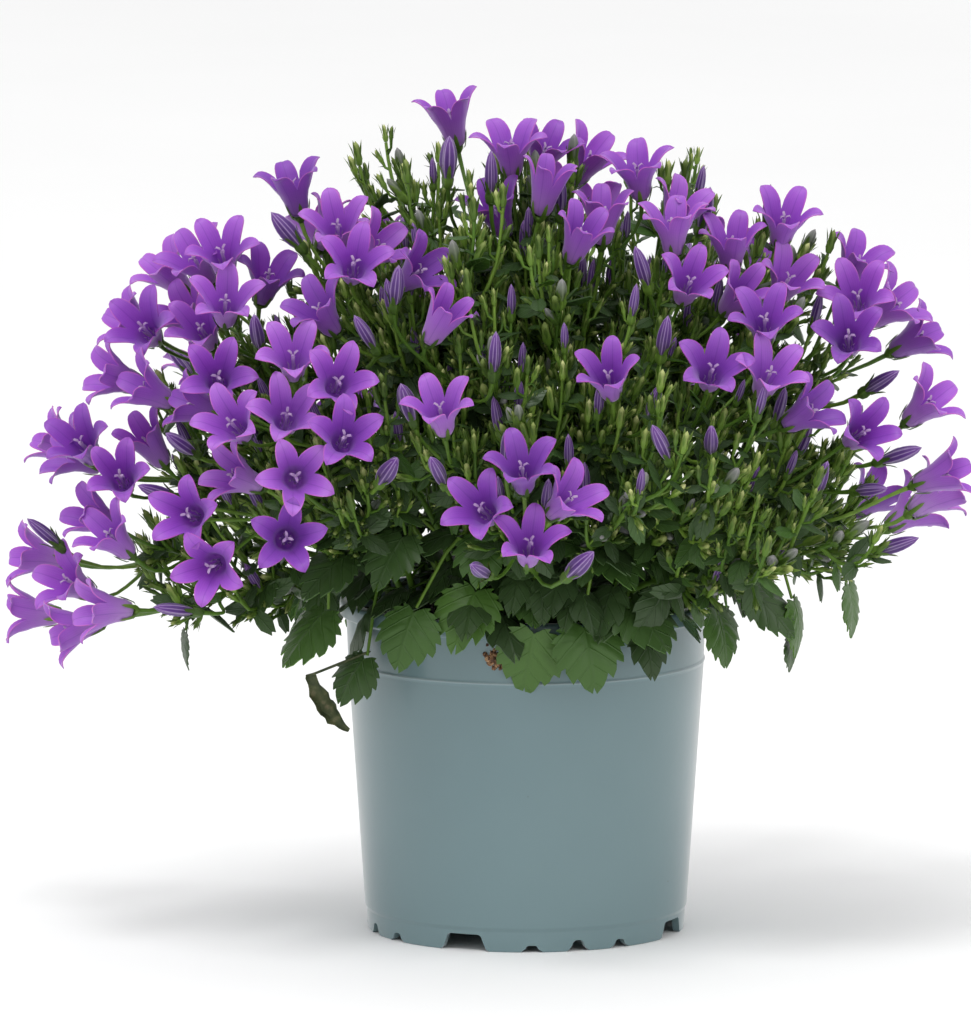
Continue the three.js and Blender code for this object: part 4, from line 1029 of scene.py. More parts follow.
def blade(path, across, widths, thick, tissue=None):
    """A slim pointed blade along a path: a flat diamond in section, closed at both ends."""
    path = [np.array(p, float) for p in path]
    across = unit(np.array(across, float))
    points, faces, marks = [path[0]], [], [(0, 0, 0)]
    for n, (middle, width) in enumerate(zip(path[1:-1], widths)):
        up = unit(np.cross(across, path[n + 2] - path[n]))
        for side, lift in ((1, 0), (0, 1), (-1, 0), (0, -1)):
            points.append(middle + across * side * width + up * lift * thick)
            marks.append((side, (n + 1) / (len(path) - 1), lift > 0))
    points.append(path[-1])
    marks.append((0, 1, 0))
    last = len(points) - 1
    for k in range(4):
        after = (k + 1) % 4
        faces.append([0, 1 + after, 1 + k])
        for ring in range(len(path) - 3):
            low = 1 + 4 * ring
            faces.append([low + k, low + after, low + 4 + after, low + 4 + k])
        faces.append([last - 4 + k, last - 4 + after, last])
    own = [] if tissue is None else [tissue]
    return points, faces, marks, *own


def ring_of(count, make, turn=0.0):
    """The same part several times round the axis."""
    out = []
    for n in range(count):
        angle = math.radians(turn + 360 * n / count)
        c, s = math.cos(angle), math.sin(angle)
        spin = np.array(((c, -s, 0), (s, c, 0), (0, 0, 1)))
        points, *rest = make(n)
        out.append((np.asarray(points) @ spin.T, *rest))
    return out


# The stems' skin: smooth green tissue grown with the stalk, streaked along its length and yellower in
# young stalks. Each stalk carries its own tone.
def attribute(tree, name):
    return node(tree, "ShaderNodeAttribute", {"attribute_name": name})


def tone_of(tree):
    """The light or dark of a part, given to it where it is placed."""
    return attribute(tree, "tone").outputs["Fac"]


def marks_of(tree):
    """A part's three marks, one by one."""
    return node(tree, "ShaderNodeSeparateXYZ", Vector=attribute(tree, "mark").outputs["Vector"]).outputs


def maths(tree, operation, first, second=0.5):
    made = tree.nodes.new("ShaderNodeMath")
    made.operation = operation
    for socket, value in zip(made.inputs, (first, second)):
        if isinstance(value, bpy.types.NodeSocket):
            tree.links.new(value, socket)
        else:
            socket.default_value = value
    return made.outputs[0]


def mottled(tree, strength, colour, pattern, dark, light):
    """A colour darkened and lightened by a pattern."""
    return mixed(tree, strength, colour, ramp(tree, pattern, [(0.3, dark), (0.7, light)]), "MULTIPLY")


stem_finish, tree, shader = finish_of("stem_skin", 0.5, Specular_IOR_Level=0.3)
greens_of_stems = [(0, (0.035, 0.08, 0.012)), (0.6, (0.075, 0.165, 0.016)), (1, (0.17, 0.29, 0.04))]
on_object = tree.nodes.new("ShaderNodeTexCoord").outputs["Object"]
stretched = node(tree, "ShaderNodeMapping", Vector=on_object, Scale=(1, 1, 0.25)).outputs[0]
streaks = grain(tree, 600, 3, stretched)
colour = ramp(tree, tone_of(tree), greens_of_stems)
coloured(tree, shader, mottled(tree, 0.6, colour, streaks, (0.65, 0.68, 0.6), (1.2, 1.15, 1.1)))
bumped(tree, shader, streaks, 0.2, 0.0002)

# The leaves: thin soft blades of waxy green tissue, heart-shaped and coarsely toothed where they are
# large. The blade is puckered between its pale side veins and folded a little along its midrib.
LEAF_THICKNESS = 0.024
LEAF_MIDDLE = 0.42
TOOTH_DEPTH = 0.17
VEIN_PAIRS = 4
VEIN_SLOPE = 0.9


def leaf_blade(teeth, rings, heart, width, seed_of_leaf):
    """A blade one unit long from rings of corners round its middle, four to a tooth."""
    wild = np.random.default_rng(seed_of_leaf)
    corners = 4 * teeth
    middle = np.array((0, LEAF_MIDDLE))
    sizes = wild.uniform(0.7, 1.4, teeth)
    sheet, marks, faces = [middle], [], []
    for ring in range(1, rings + 1):
        share = ring / rings
        for k in range(corners):
            angle = 2 * math.pi * k / corners
            tipwards = (0, 0.6, 0, 0) if angle < math.pi else (0, 0, 0, -0.6)
            angle -= tipwards[k % 4] * 2 * math.pi / corners
            reach = 0.47 + 0.11 * math.cos(angle)
            sinus = math.exp(-((angle - math.pi) / 0.3) ** 2)
            reach *= 1 - heart * sinus
            tooth = (0, 1.0, 0.65, 0.3)[k % 4] if angle < math.pi else (0, 0.3, 0.65, 1.0)[k % 4]
            reach += 0.11 * math.exp(-(min(angle, 2 * math.pi - angle) / 0.3) ** 2)
            jag = (TOOTH_DEPTH * (tooth - 0.5) * sizes[k // 4] + wild.uniform(-0.015, 0.015)) * (1 - sinus)
            reach *= 1 + jag * max(0, share - 0.4) / 0.6
            sheet.append(middle + share * reach * np.array((math.sin(angle), math.cos(angle))))
    twist = wild.uniform(-0.25, 0.25)
    curl = wild.uniform(0.15, 0.6)
    fold = wild.uniform(0.0, 0.28)
    points = []
    for x, y in sheet:
        vein = math.cos(2 * math.pi * VEIN_PAIRS * (y - VEIN_SLOPE * abs(x)))
        pucker = -0.015 * vein * min(1, abs(x) * 5)
        lift = pucker + fold * abs(x) - curl * max(0, y) ** 2 - 0.55 * x * x + twist * x * y
        points.append((x * width, y, lift))
        marks.append((x, y, 1))
    for k in range(corners):
        after = (k + 1) % corners
        faces.append([0, 1 + after, 1 + k])
        for ring in range(rings - 1):
            low = 1 + ring * corners
            faces.append([low + k, low + after, low + corners + after, low + corners + k])
    return shell(points, [f[::-1] for f in faces], marks, LEAF_THICKNESS)


# Each kind of leaf: how many there are, teeth, rings, depth of the heart, width, and its first seed
LEAF_KINDS = {
    "large": (6, 15, 4, 0.42, 1.14, 0),
    "middle": (3, 9, 2, 0.3, 0.85, 10),
    "small": (3, 3, 1, 0.05, 0.6, 20),
}
for kind, (count, teeth, rings, heart, width, first_seed) in LEAF_KINDS.items():
    for n in range(count):
        shape(f"leaf_{kind}_{n}", LEAF, [leaf_blade(teeth, rings, heart, width, first_seed + n)])
for n, bow in enumerate((0.5, 1.1)):
    course = [(0, 0, 0), (0, 0.3, 0.1 * bow), (0, 0.65, 0.05 * bow), (0, 1, -0.25 * bow)]
    shape(f"bract_{n}", LEAF, [blade(course, (1, 0, 0), [0.13, 0.1], 0.03)])

leaf_finish, tree, shader = finish_of("leaf_blade", 0.38, Specular_IOR_Level=0.3)
across, along, upper = marks_of(tree)
aside = maths(tree, "ABSOLUTE", across)
rise = maths(tree, "SUBTRACT", along, maths(tree, "MULTIPLY", aside, VEIN_SLOPE))
phase = maths(tree, "COSINE", maths(tree, "MULTIPLY", rise, 2 * math.pi * VEIN_PAIRS))
side_vein = ramp(tree, phase, [(0.86, BLACK), (1, PALE)])
midrib = ramp(tree, aside, [(0.0, WHITE), (0.04, BLACK)])
vein = mixed(tree, 1, side_vein, midrib, "LIGHTEN")
dark = ramp(tree, tone_of(tree), [(0, (0.009, 0.026, 0.007)), (0.5, (0.018, 0.05, 0.008)),
                                  (0.8, (0.04, 0.115, 0.009)), (1, (0.08, 0.19, 0.012))])
blotched = mottled(tree, 0.5, dark, grain(tree, 220), (0.6, 0.62, 0.55), (1.25, 1.2, 1.1))
below = maths(tree, "SUBTRACT", along, LEAF_MIDDLE)
from_middle = maths(tree, "SQRT", maths(tree, "ADD", maths(tree, "MULTIPLY", aside, aside),
                                        maths(tree, "MULTIPLY", below, below)))
outer = ramp(tree, from_middle, [(0.25, BLACK), (0.55, PALE)])
blotched = mixed(tree, outer, blotched, mixed(tree, 1, blotched, (2.1, 1.9, 1.3), "MULTIPLY"))
pale_vein = mixed(tree, 1, dark, (4.5, 3.2, 3.4), "MULTIPLY")
upper_side = mixed(tree, maths(tree, "MULTIPLY", vein, 0.75), blotched, pale_vein)
under_side = mixed(tree, 0.4, dark, (0.07, 0.12, 0.045))
coloured(tree, shader, mixed(tree, upper, under_side, upper_side))
bumped(tree, shader, mixed(tree, 0.4, vein, grain(tree, 260)), 0.5, 0.0007)

# The calyces and buds: a ribbed green cup with five slim sepals. In a young bud the pale tip of the bell
# shows between them. Older ones are grey-tipped spindles, and the last before they open are violet and
# pleated, with pale ribs.
SEPAL_THICKNESS = 0.13


def sepals_of(foot, spread, length, width, flare=1.6, steps=(0, 0.12, 0.45, 0.75, 1)):
    """Five sepals from their foot, which spread as they rise."""
    def sepal(n):
        outs = [foot[0] + spread * t ** flare + 0.12 * (n % 2) * t for t in steps]
        ups = [foot[1] + length * t * (1 - 0.12 * t) for t in steps]
        path = [(out, 0, up) for out, up in zip(outs, ups)]
        widths = [width * (1.15 - 0.6 * t) for t in steps[1:-1]]
        points, faces, marks, tissue = blade(path, (0, 1, 0), widths, SEPAL_THICKNESS, CALYX)
        return points, faces, [(m[0], 0.25 + 0.4 * m[1], 0) for m in marks], tissue
    return ring_of(5, sepal, 36)


def young_bud(scale, swell):
    """A short round bud in its own five sepals."""
    profile = [(0, 0), (0.5, 0.15), (0.82, 1.3), (0.62 * swell, 2.9), (0.52 * swell, 4.0), (0, 4.9)]
    body = round_body(profile, 6)
    parts = [body] + sepals_of((0.68, 1.5), 0.8, 3.9, 0.4, 1.6, (0, 0.5, 1))
    return [(np.asarray(p[0]) * scale, *p[1:]) for p in parts]


for n, (scale, swell) in enumerate(((0.8, 0.8), (0.95, 1.0), (1.1, 1.1))):
    shape(f"bud_young_{n}", CALYX, young_bud(scale, swell))


def spindle(length, radius, pleats, depth, sides):
    """A long bud that swells above its middle and closes to a point."""
    steps = np.linspace(0, 1, 9)
    wide = [math.sin(math.pi * min(1, t ** 0.8)) ** 0.6 * (0.8 + 0.35 * t) for t in steps]
    return round_body([(radius * w, length * t) for w, t in zip(wide, steps)], sides, pleats, depth)


def cup_of(height, radius):
    """The ribbed green cup under a bud or bell."""
    body = round_body([(0, -1.4), (0.5, -1.3), (radius * 0.85, -0.4), (radius, 0.5 * height),
                       (radius * 0.9, height), (0, height)], 10, 5, 0.09)
    return body[0], body[1], [(m[0], 0.35 * m[1], 0) for m in body[2]], CALYX


for n, (length, radius) in enumerate(((6.6, 1.2), (7.6, 1.35))):
    bud = spindle(length, radius, 5, 0.05, 10)
    bud = (bud[0], bud[1], [(m[0], 0.35 + 0.65 * m[1], 1) for m in bud[2]])
    shape(f"bud_grey_{n}", CALYX, [bud, cup_of(2.0, 1.35)] + sepals_of((1.1, 1.0), 0.6, 4.4, 0.5))
for n, (length, radius) in enumerate(((12, 1.35), (12.6, 1.5), (11.6, 1.9))):
    shape(f"bud_striped_{n}", STRIPED_BUD,
          [spindle(length, radius, 5, 0.2, 20), cup_of(2.0, 1.4)] + sepals_of((1.25, 1.6), 1.5, 4.4, 0.5))
shape("calyx", CALYX, [cup_of(0.35, 1.4)] + sepals_of((1.3, -0.3), 1.75, 5.2, 0.55, 0.5))

calyx_finish, tree, shader = finish_of("calyx_and_young_bud", 0.5, Specular_IOR_Level=0.3)
fold, along, greyed = marks_of(tree)
tone = tone_of(tree)
low = ramp(tree, tone, [(0, (0.035, 0.075, 0.012)), (0.6, (0.08, 0.16, 0.018)), (1, (0.16, 0.27, 0.04))])
high = ramp(tree, tone, [(0, (0.09, 0.13, 0.035)), (0.5, (0.17, 0.22, 0.06)), (0.8, (0.34, 0.38, 0.14)),
                         (1, (0.55, 0.56, 0.28))])
high = mixed(tree, greyed, high, (0.23, 0.22, 0.25))
lighten = ramp(tree, along, [(0.4, BLACK), (0.85, (0.7, 0.7, 0.7)), (1, WHITE)])
ribs = ramp(tree, fold, [(0.1, (0.75, 0.78, 0.7)), (1, (1.15, 1.12, 1.05))])
colour = mixed(tree, 0.8, mixed(tree, lighten, low, high), ribs, "MULTIPLY")
coloured(tree, shader, mottled(tree, 0.4, colour, grain(tree, 500), (0.7, 0.7, 0.65), (1.2, 1.2, 1.15)))
bumped(tree, shader, grain(tree, 900), 0.15, 0.0002)

striped_finish, tree, shader = finish_of("striped_bud", 0.5, Sheen_Weight=0.2)
fold, along, _ = marks_of(tree)
skin = ramp(tree, along, [(0, (0.16, 0.17, 0.1)), (0.2, (0.08, 0.03, 0.16)), (0.6, (0.065, 0.012, 0.16)),
                          (1, (0.13, 0.035, 0.24))])
ribs = ramp(tree, maths(tree, "ABSOLUTE", fold), [(0.55, BLACK), (1, PALE)])
coloured(tree, shader, mixed(tree, ribs, skin, (0.4, 0.28, 0.52)))
bumped(tree, shader, grain(tree, 800), 0.12, 0.0002)

# The bells: five soft petals fused into a funnel for half their length, then spread as pointed lobes with
# recurved tips. Each holds a pale style with three curled stigma lobes, and withered anthers round it.
PETAL_THICKNESS = 0.2
LOBE_COLUMNS = 6
LOBE_ROWS = 7
RIM_FLARE = 0.045
RIM_WAVE = 0.15
STYLE_HEIGHT = 8.2
BELL_SEED = 30


def bell(open_, seed_of_bell):
    """A funnel of rings with pleats, then each lobe row by row along its own curve to the tip."""
    wild = np.random.default_rng(seed_of_bell)
    mouth = (3.2 + 1.3 * open_, 9.0 - 1.3 * open_)
    tube = [(0.7, 0.5), (1.9, 1.0), (2.55, 2.4), (2.85, 4.4), (3.0 + 0.55 * open_, 6.3), mouth]
    tip_reach, tip_height = lobe_tip(open_)
    columns = 5 * LOBE_COLUMNS
    points, marks, faces = [(0, 0, 0.4)], [(0, 0, 0)], []
    heights = [h for _, h in tube]
    for radius, height in tube:
        share = (height - heights[0]) / (heights[-1] - heights[0])
        for k in range(columns):
            angle = 2 * math.pi * (k - LOBE_COLUMNS / 2) / columns
            fold = math.cos(5 * angle)
            wide = radius * (1 + RIM_FLARE * fold * share)
            wave = RIM_WAVE * fold * share ** 3
            points.append((wide * math.cos(angle), wide * math.sin(angle), height + wave))
            marks.append(((k % LOBE_COLUMNS) / LOBE_COLUMNS * 2 - 1, 0.5 * share, 0))
    for row in range(len(tube) - 1):
        low = 1 + row * columns
        for k in range(columns):
            after = (k + 1) % columns
            faces.append([low + k, low + after, low + columns + after, low + columns + k])
    faces += [[0, 1 + (k + 1) % columns, 1 + k] for k in range(columns)]
    rim = 1 + (len(tube) - 1) * columns
    half = mouth[0] * math.sin(math.pi / 5)
    for lobe in range(5):
        angle = 2 * math.pi * lobe / 5
        out = np.array((math.cos(angle), math.sin(angle), 0))
        across = np.array((-math.sin(angle), math.cos(angle), 0))
        stretch, sway, roll = wild.uniform(0.94, 1.05), wild.uniform(-0.5, 0.5), wild.uniform(-0.12, 0.12)
        start = np.array((mouth[0] * (1 + RIM_FLARE), mouth[1] + RIM_WAVE))
        end = np.array((tip_reach * stretch, tip_height + wild.uniform(-0.4, 0.4)))
        bow = np.array((start[0] + (0.42 + 0.1 * open_) * (end[0] - start[0]),
                        max(start[1], end[1]) + 0.4 + 0.9 * open_))
        previous = [rim + (lobe * LOBE_COLUMNS + k) % columns for k in range(LOBE_COLUMNS + 1)]
        for row in range(1, LOBE_ROWS + 1):
            t = row / LOBE_ROWS
            centre = (1 - t) ** 2 * start + 2 * t * (1 - t) * bow + t * t * end
            heading = unit(2 * (1 - t) * (bow - start) + 2 * t * (end - bow))
            inwards = np.array((-heading[1], heading[0]))
            width = half * (1 - t) ** 0.84 * (1 + 0.9 * t)
            cup = (0.5 / mouth[0]) * (1 - t) + 0.05
            if row == LOBE_ROWS:
                current = [len(points)]
                points.append(out * centre[0] + UP * centre[1] + across * sway)
                marks.append((0, 1, 0))
            else:
                current = []
                for k in range(LOBE_COLUMNS + 1):
                    s = 2 * k / LOBE_COLUMNS - 1
                    sag = cup * (s * width) ** 2 - 0.12 * t * math.exp(-(s / 0.3) ** 2) + roll * s * width
                    sag += 0.1 * t * math.sin(9 * t + 4 * s + seed_of_bell)
                    spot = centre + inwards * sag
                    current.append(len(points))
                    points.append(out * spot[0] + UP * spot[1] + across * (s * width + sway * t * t))
                    marks.append((s, 0.5 + 0.5 * t, 0))
            for k in range(LOBE_COLUMNS):
                if row == LOBE_ROWS:
                    faces.append([previous[k], previous[k + 1], current[0]])
                else:
                    faces.append([previous[k], previous[k + 1], current[k + 1], current[k]])
            previous = current
    return shell(points, faces, marks, PETAL_THICKNESS)


def style_and_anthers(open_):
    top = STYLE_HEIGHT
    reach = 0.3 + 0.9 * open_
    column = round_body([(0, 0.9), (0.45, 1.0), (0.3, 3), (0.32, 6), (0.5, top - 0.4), (0, top)], 6)
    stigma = [(0.1, 0, top - 0.6), (0.45, 0, top + 0.7), (0.45 + 0.6 * reach, 0, top + 1.1),
              (0.45 + reach, 0, top + 0.5)]
    anther = [(0.7, 0, 1.6), (1.3, 0.1, 3.0), (1.1, 0.25, 4.4), (1.5, 0.4, 5.4)]
    parts = [(*column, STYLE)]
    parts += ring_of(3, lambda n: blade(stigma, (0, 1, 0), [0.34, 0.3], 0.2, STYLE), 20)
    parts += ring_of(5, lambda n: blade(anther, (0, 1, 0), [0.28, 0.24], 0.12, STYLE), 10)
    return parts


BELL_OPENINGS = (0.42, 0.5, 0.62, 0.7, 0.8, 0.8, 0.9, 0.9, 0.9, 1, 1, 1, 1)
for n, opening in enumerate(BELL_OPENINGS):
    shape(f"bell_{n:02}", PETAL, [bell(opening, BELL_SEED + n), *style_and_anthers(opening)])

petal_finish, tree, shader = finish_of("petal", 0.55, Sheen_Weight=0.25, Sheen_Roughness=0.4,
                                       Subsurface_Weight=0.35, Subsurface_Scale=0.0012)
shader.inputs["Subsurface Radius"].default_value = (1.0, 0.5, 1.0)
across, along, inner = marks_of(tree)
outside = ramp(tree, along, [(0, (0.3, 0.18, 0.4)), (0.18, (0.31, 0.14, 0.45)), (0.5, (0.28, 0.095, 0.46)),
                             (1, (0.24, 0.066, 0.42))])
# The inner side is painted lighter low in the throat than further up: painted light standing in for light
# that shines through the thin petals
inside = ramp(tree, along, [(0.1, (0.31, 0.1, 0.53)), (0.42, (0.26, 0.062, 0.47)), (0.6, (0.3, 0.08, 0.51)),
                            (0.85, (0.33, 0.1, 0.53)), (1, (0.3, 0.07, 0.43))])
to_middle = maths(tree, "ABSOLUTE", across)
midline = ramp(tree, to_middle, [(0.0, (0.72, 0.66, 0.8)), (0.12, WHITE)])
colour = mixed(tree, 0.7, mixed(tree, inner, outside, inside), midline, "MULTIPLY")
edge = ramp(tree, to_middle, [(0.9, BLACK), (1, (0.6, 0.6, 0.6))])
on_lobe = ramp(tree, along, [(0.5, BLACK), (0.6, WHITE)])
colour = mixed(tree, mixed(tree, 1, edge, on_lobe, "MULTIPLY"), colour, (0.55, 0.1, 0.42))
veins = node(tree, "ShaderNodeTexWave", {"wave_type": "BANDS", "bands_direction": "X"},
             Vector=attribute(tree, "mark").outputs["Vector"], Scale=1.6, Distortion=1.5, Detail=2)
vein_shades = ramp(tree, veins.outputs["Fac"], [(0, (0.6, 0.5, 0.75)), (0.5, WHITE)])
colour = mixed(tree, 0.16, colour, vein_shades, "MULTIPLY")
bloom_shades = ramp(tree, tone_of(tree), [(0, (0.52, 0.4, 0.66)), (0.3, (0.88, 0.82, 0.93)), (0.7, WHITE),
                                          (1, (1.18, 1.45, 1.12))])
coloured(tree, shader, mixed(tree, 0.9, colour, bloom_shades, "MULTIPLY"))
bumped(tree, shader, mixed(tree, 0.5, veins.outputs["Color"], grain(tree, 900)), 0.12, 0.0001)

style_finish, tree, shader = finish_of("style_and_anthers", 0.6)
coloured(tree, shader, ramp(tree, grain(tree, 500), [(0.3, (0.3, 0.16, 0.4)), (0.7, (0.46, 0.34, 0.5))]))

# The growing: one tree of nodes turns lines into tapered stalks and sets parts on points, as a plant
# repeats its leaves and buds. Each clump is one host mesh of lines and points.
def new_tree(name, sockets):
    tree = bpy.data.node_groups.new(name, "GeometryNodeTree")
    for label, kind in sockets:
        tree.interface.new_socket(label, in_out="INPUT", socket_type=kind)
    tree.interface.new_socket("Grown", in_out="OUTPUT", socket_type="NodeSocketGeometry")
    return tree, tree.nodes.new("NodeGroupInput").outputs


def output_of(made):
    return next(output for output in made.outputs if output.enabled)


def read(tree, name, kind):
    return output_of(node(tree, "GeometryNodeInputNamedAttribute", {"data_type": kind}, Name=name))


def compared(tree, kind, operation, first, second):
    made = node(tree, "FunctionNodeCompare", {"data_type": kind, "operation": operation}, A=first, B=second)
    return made.outputs["Result"]


def picked_from(tree, collection):
    """A collection's parts, each on its own."""
    return node(tree, "GeometryNodeCollectionInfo", Collection=collection, Separate_Children=True).outputs[0]


def realized(tree, *geometries):
    """Everything joined, with its repeats turned into mesh."""
    together = tree.nodes.new("GeometryNodeJoinGeometry")
    for geometry in geometries:
        tree.links.new(geometry, together.inputs[0])
    return node(tree, "GeometryNodeRealizeInstances", Geometry=together.outputs[0]).outputs[0]


def grown_by(tree, piece, values):
    """The tree runs on the piece, with its inputs by name, and the piece becomes the plain mesh it gives."""
    grower = piece.modifiers.new(tree.name, "NODES")
    grower.node_group = tree
    for socket in tree.interface.items_tree:
        if socket.in_out == "INPUT" and socket.name in values:
            grower[socket.identifier] = values[socket.name]
    return made_plain(piece)


growth, given = new_tree("growth", [
    ("Lines and places", "NodeSocketGeometry"), ("Sides", "NodeSocketInt"),
    ("Parts", "NodeSocketCollection")])
girth = read(growth, "girth", "FLOAT")
kind = read(growth, "kind", "INT")
lines = node(growth, "GeometryNodeMeshToCurve", Mesh=given["Lines and places"]).outputs["Curve"]
section = node(growth, "GeometryNodeCurvePrimitiveCircle", Resolution=given["Sides"],
               Radius=1.0).outputs["Curve"]
stalks = node(growth, "GeometryNodeCurveToMesh", Curve=lines, Profile_Curve=section, Scale=girth,
              Fill_Caps=True).outputs[0]
stalks = node(growth, "GeometryNodeSetShadeSmooth", Geometry=stalks).outputs[0]
placed = node(growth, "GeometryNodeInstanceOnPoints", Points=given["Lines and places"],
              Selection=compared(growth, "INT", "GREATER_EQUAL", kind, 0),
              Instance=picked_from(growth, given["Parts"]), Pick_Instance=True, Instance_Index=kind,
              Rotation=read(growth, "turn", "FLOAT_VECTOR"), Scale=read(growth, "size", "FLOAT")).outputs[0]
grown = realized(growth, placed, stalks)
for tissue, finish in ((STEM, stem_finish), (LEAF, leaf_finish), (CALYX, calyx_finish),
                       (STRIPED_BUD, striped_finish), (PETAL, petal_finish), (STYLE, style_finish)):
    chosen = compared(growth, "INT", "EQUAL", read(growth, "tissue", "INT"), tissue)
    grown = node(growth, "GeometryNodeSetMaterial", Geometry=grown, Selection=chosen,
                 Material=finish).outputs[0]
growth.links.new(grown, growth.nodes.new("NodeGroupOutput").inputs[0])

part_store = bpy.data.collections.new("parts")
for made_part in shapes.values():
    part_store.objects.link(made_part)
part_order = sorted(shapes)

NO_PART = -1
STALK_SIDES = 5


class Host:
    """The lines and places that one piece grows from."""

    def __init__(self):
        self.points, self.edges, self.values = [], [], []

    def line(self, points, girths, tone):
        first = len(self.points)
        self.points += [tuple(np.asarray(p) * MM) for p in points]
        self.edges += [(first + n, first + n + 1) for n in range(len(points) - 1)]
        self.values += [(NO_PART, (0, 0, 0), 1.0, tone, g * MM) for g in girths]

    def place(self, name, point, turn, size=1.0, tone=0.5):
        self.points.append(tuple(np.asarray(point) * MM))
        turned_by = tuple(Matrix(turn.tolist()).to_euler())
        self.values.append((part_order.index(name), turned_by, size, tone, 0.0))

    def grow(self, name):
        mesh = bpy.data.meshes.new(name)
        mesh.from_pydata(self.points, self.edges, [])
        kinds, turns, sizes, tones, girths = zip(*self.values)
        mesh.attributes.new("kind", "INT", "POINT").data.foreach_set("value", kinds)
        mesh.attributes.new("turn", "FLOAT_VECTOR", "POINT").data.foreach_set("vector", np.ravel(turns))
        for label, values in (("size", sizes), ("tone", tones), ("girth", girths)):
            mesh.attributes.new(label, "FLOAT", "POINT").data.foreach_set("value", values)
        piece = link(bpy.data.objects.new(name, mesh))
        return grown_by(growth, piece, {"Sides": STALK_SIDES, "Parts": part_store})


def share_of_dome(point):
    """0 at the heart of the growth, 1 at its outer surface."""
    return math.sqrt((point[0] / DOME.across) ** 2 + (point[1] / DOME.deep) ** 2
                     + ((point[2] - DOME.base) / DOME.tall) ** 2)


# Each clump's green growth: stems and flower stalks, calyces under the bells, racemes of young buds on
# short side stalks with a small bract each, and leaves, larger towards the peat. It is bare in the shade
# at the heart of the plant, and no branch grows out through the outer surface.
NODE_SPACING = 3.6
BRANCH_SPACING = 8
HEAD_SHOOTS = 5
LOW_LEAVES = 3
LOW_LEAF_ROOM = 1.5
STEM_GIRTH = (0.95, 0.55)
BRANCH_GIRTH = (0.55, 0.4)
FLOWER_STALK_GIRTH = (0.5, 0.42)
LEAF_STALK_GIRTHS = [0.5, 0.42, 0.36]
LOW_STALK_GIRTHS = [0.45, 0.38, 0.34]
BUD_STALK_GIRTHS = [0.4, 0.32, 0.42]
UNDER_CALYX_GIRTHS = [0.5, 0.6]
VIOLET_SHARE = 0.16
BARE_SHARE = 0.5
OUTER_SHARE = 1.0
greens = [Host() for _ in clumps]


# How many forms of each kind are used here: the third striped bud, about to open, is named outright
FORMS = {"leaf_large": 6, "leaf_middle": 3, "leaf_small": 3, "bract": 2, "bud_young": 3, "bud_grey": 2,
         "bud_striped": 2}


def one_of(kind):
    """One of the forms of a kind, by chance."""
    return f"{kind}_{luck.integers(FORMS[kind])}"


def taper(first, last, count):
    return list(np.linspace(first, last, count))


def side_turn(along, face):
    return leaf_turn(unit(along), unit(face))


def raceme(host, owner, curve, length, first, last, bud_size, phase):
    """Bracts and buds at the nodes along a stem or branch."""
    marks = np.arange(first, last, NODE_SPACING / length)
    for n, mark in enumerate(marks):
        start, tangent = curve.at(mark), curve.tangent(mark)
        if share_of_dome(start) < BARE_SHARE:
            continue
        side = outward(tangent, NODE_TURN * n + phase)
        share = (mark - first) / (last - first + 1e-6)
        tone = luck.uniform(0.15, 1)
        leaf_size = luck.uniform(5.5, 9) * (1 - 0.5 * share)
        along = unit(tangent * luck.uniform(0.3, 1) + side)
        tip = start + along * leaf_size
        if room_for([start + along * 1.5, (start + tip) / 2, tip], 0.5, owner, least=FIRST_BLOOM) > 0.1:
            name = one_of("leaf_small") if share < 0.75 and leaf_size > 4.5 else one_of("bract")
            host.place(name, start, side_turn(along, tangent + UP * 0.3), leaf_size, tone * 0.8)
        reach = luck.uniform(1.5, 6.5) * (1 - 0.45 * share)
        side = outward(tangent, NODE_TURN * n + phase + 12)
        end = start + (tangent * 0.75 + side * 0.6) * reach
        axis = unit(tangent + side * luck.uniform(0.1, 0.45))
        size = bud_size * luck.uniform(0.75, 1.15)
        length_of_bud = [end, end + axis * 2.5 * size, end + axis * 5 * size]
        if room_for(length_of_bud, 0.8, owner, least=FIRST_BLOOM) > 0.05:
            bend = start + tangent * 0.35 * reach + side * 0.5 * reach
            host.line([start, bend, end + axis * 0.3], BUD_STALK_GIRTHS, tone)
            host.place(one_of("bud_young"), end, axis_frame(axis, luck.uniform(0, 72)), size, tone)


def side_branch(host, owner, curve, mark, length, phase):
    """A branch with its own raceme, on the first side of the stem that has room."""
    start, tangent = curve.at(mark), curve.tangent(mark)
    for turn in TURNS:
        side = outward(tangent, phase + turn)
        leave = start + (tangent * 0.5 + side * 0.75) * length * 0.4
        end = start + (tangent * 0.55 + side * 0.45 + UP * 0.35) * length
        arrive = end - unit(tangent * 0.4 + UP * 0.7 + side * 0.1) * length * 0.4
        branch = Bend(start, leave, arrive, end)
        path = branch.at(np.linspace(0, 1, 7))
        if share_of_dome(end) < OUTER_SHARE and room_for(path[1:], 0.9, owner, least=FIRST_BLOOM) > 0.1:
            host.line(path, taper(*BRANCH_GIRTH, 7), luck.uniform(0.5, 1))
            raceme(host, owner, branch, length, 0.25, 0.97, 0.95, luck.uniform(0, 360))
            turn = axis_frame(branch.tangent(1))
            if luck.uniform() < VIOLET_SHARE:
                name, size, tone = one_of("bud_striped"), luck.uniform(0.55, 0.85), luck.uniform(0.2, 0.8)
            else:
                name, size, tone = one_of("bud_young"), 1.1, luck.uniform(0.3, 1)
            host.place(name, end, turn, size, tone)
            return


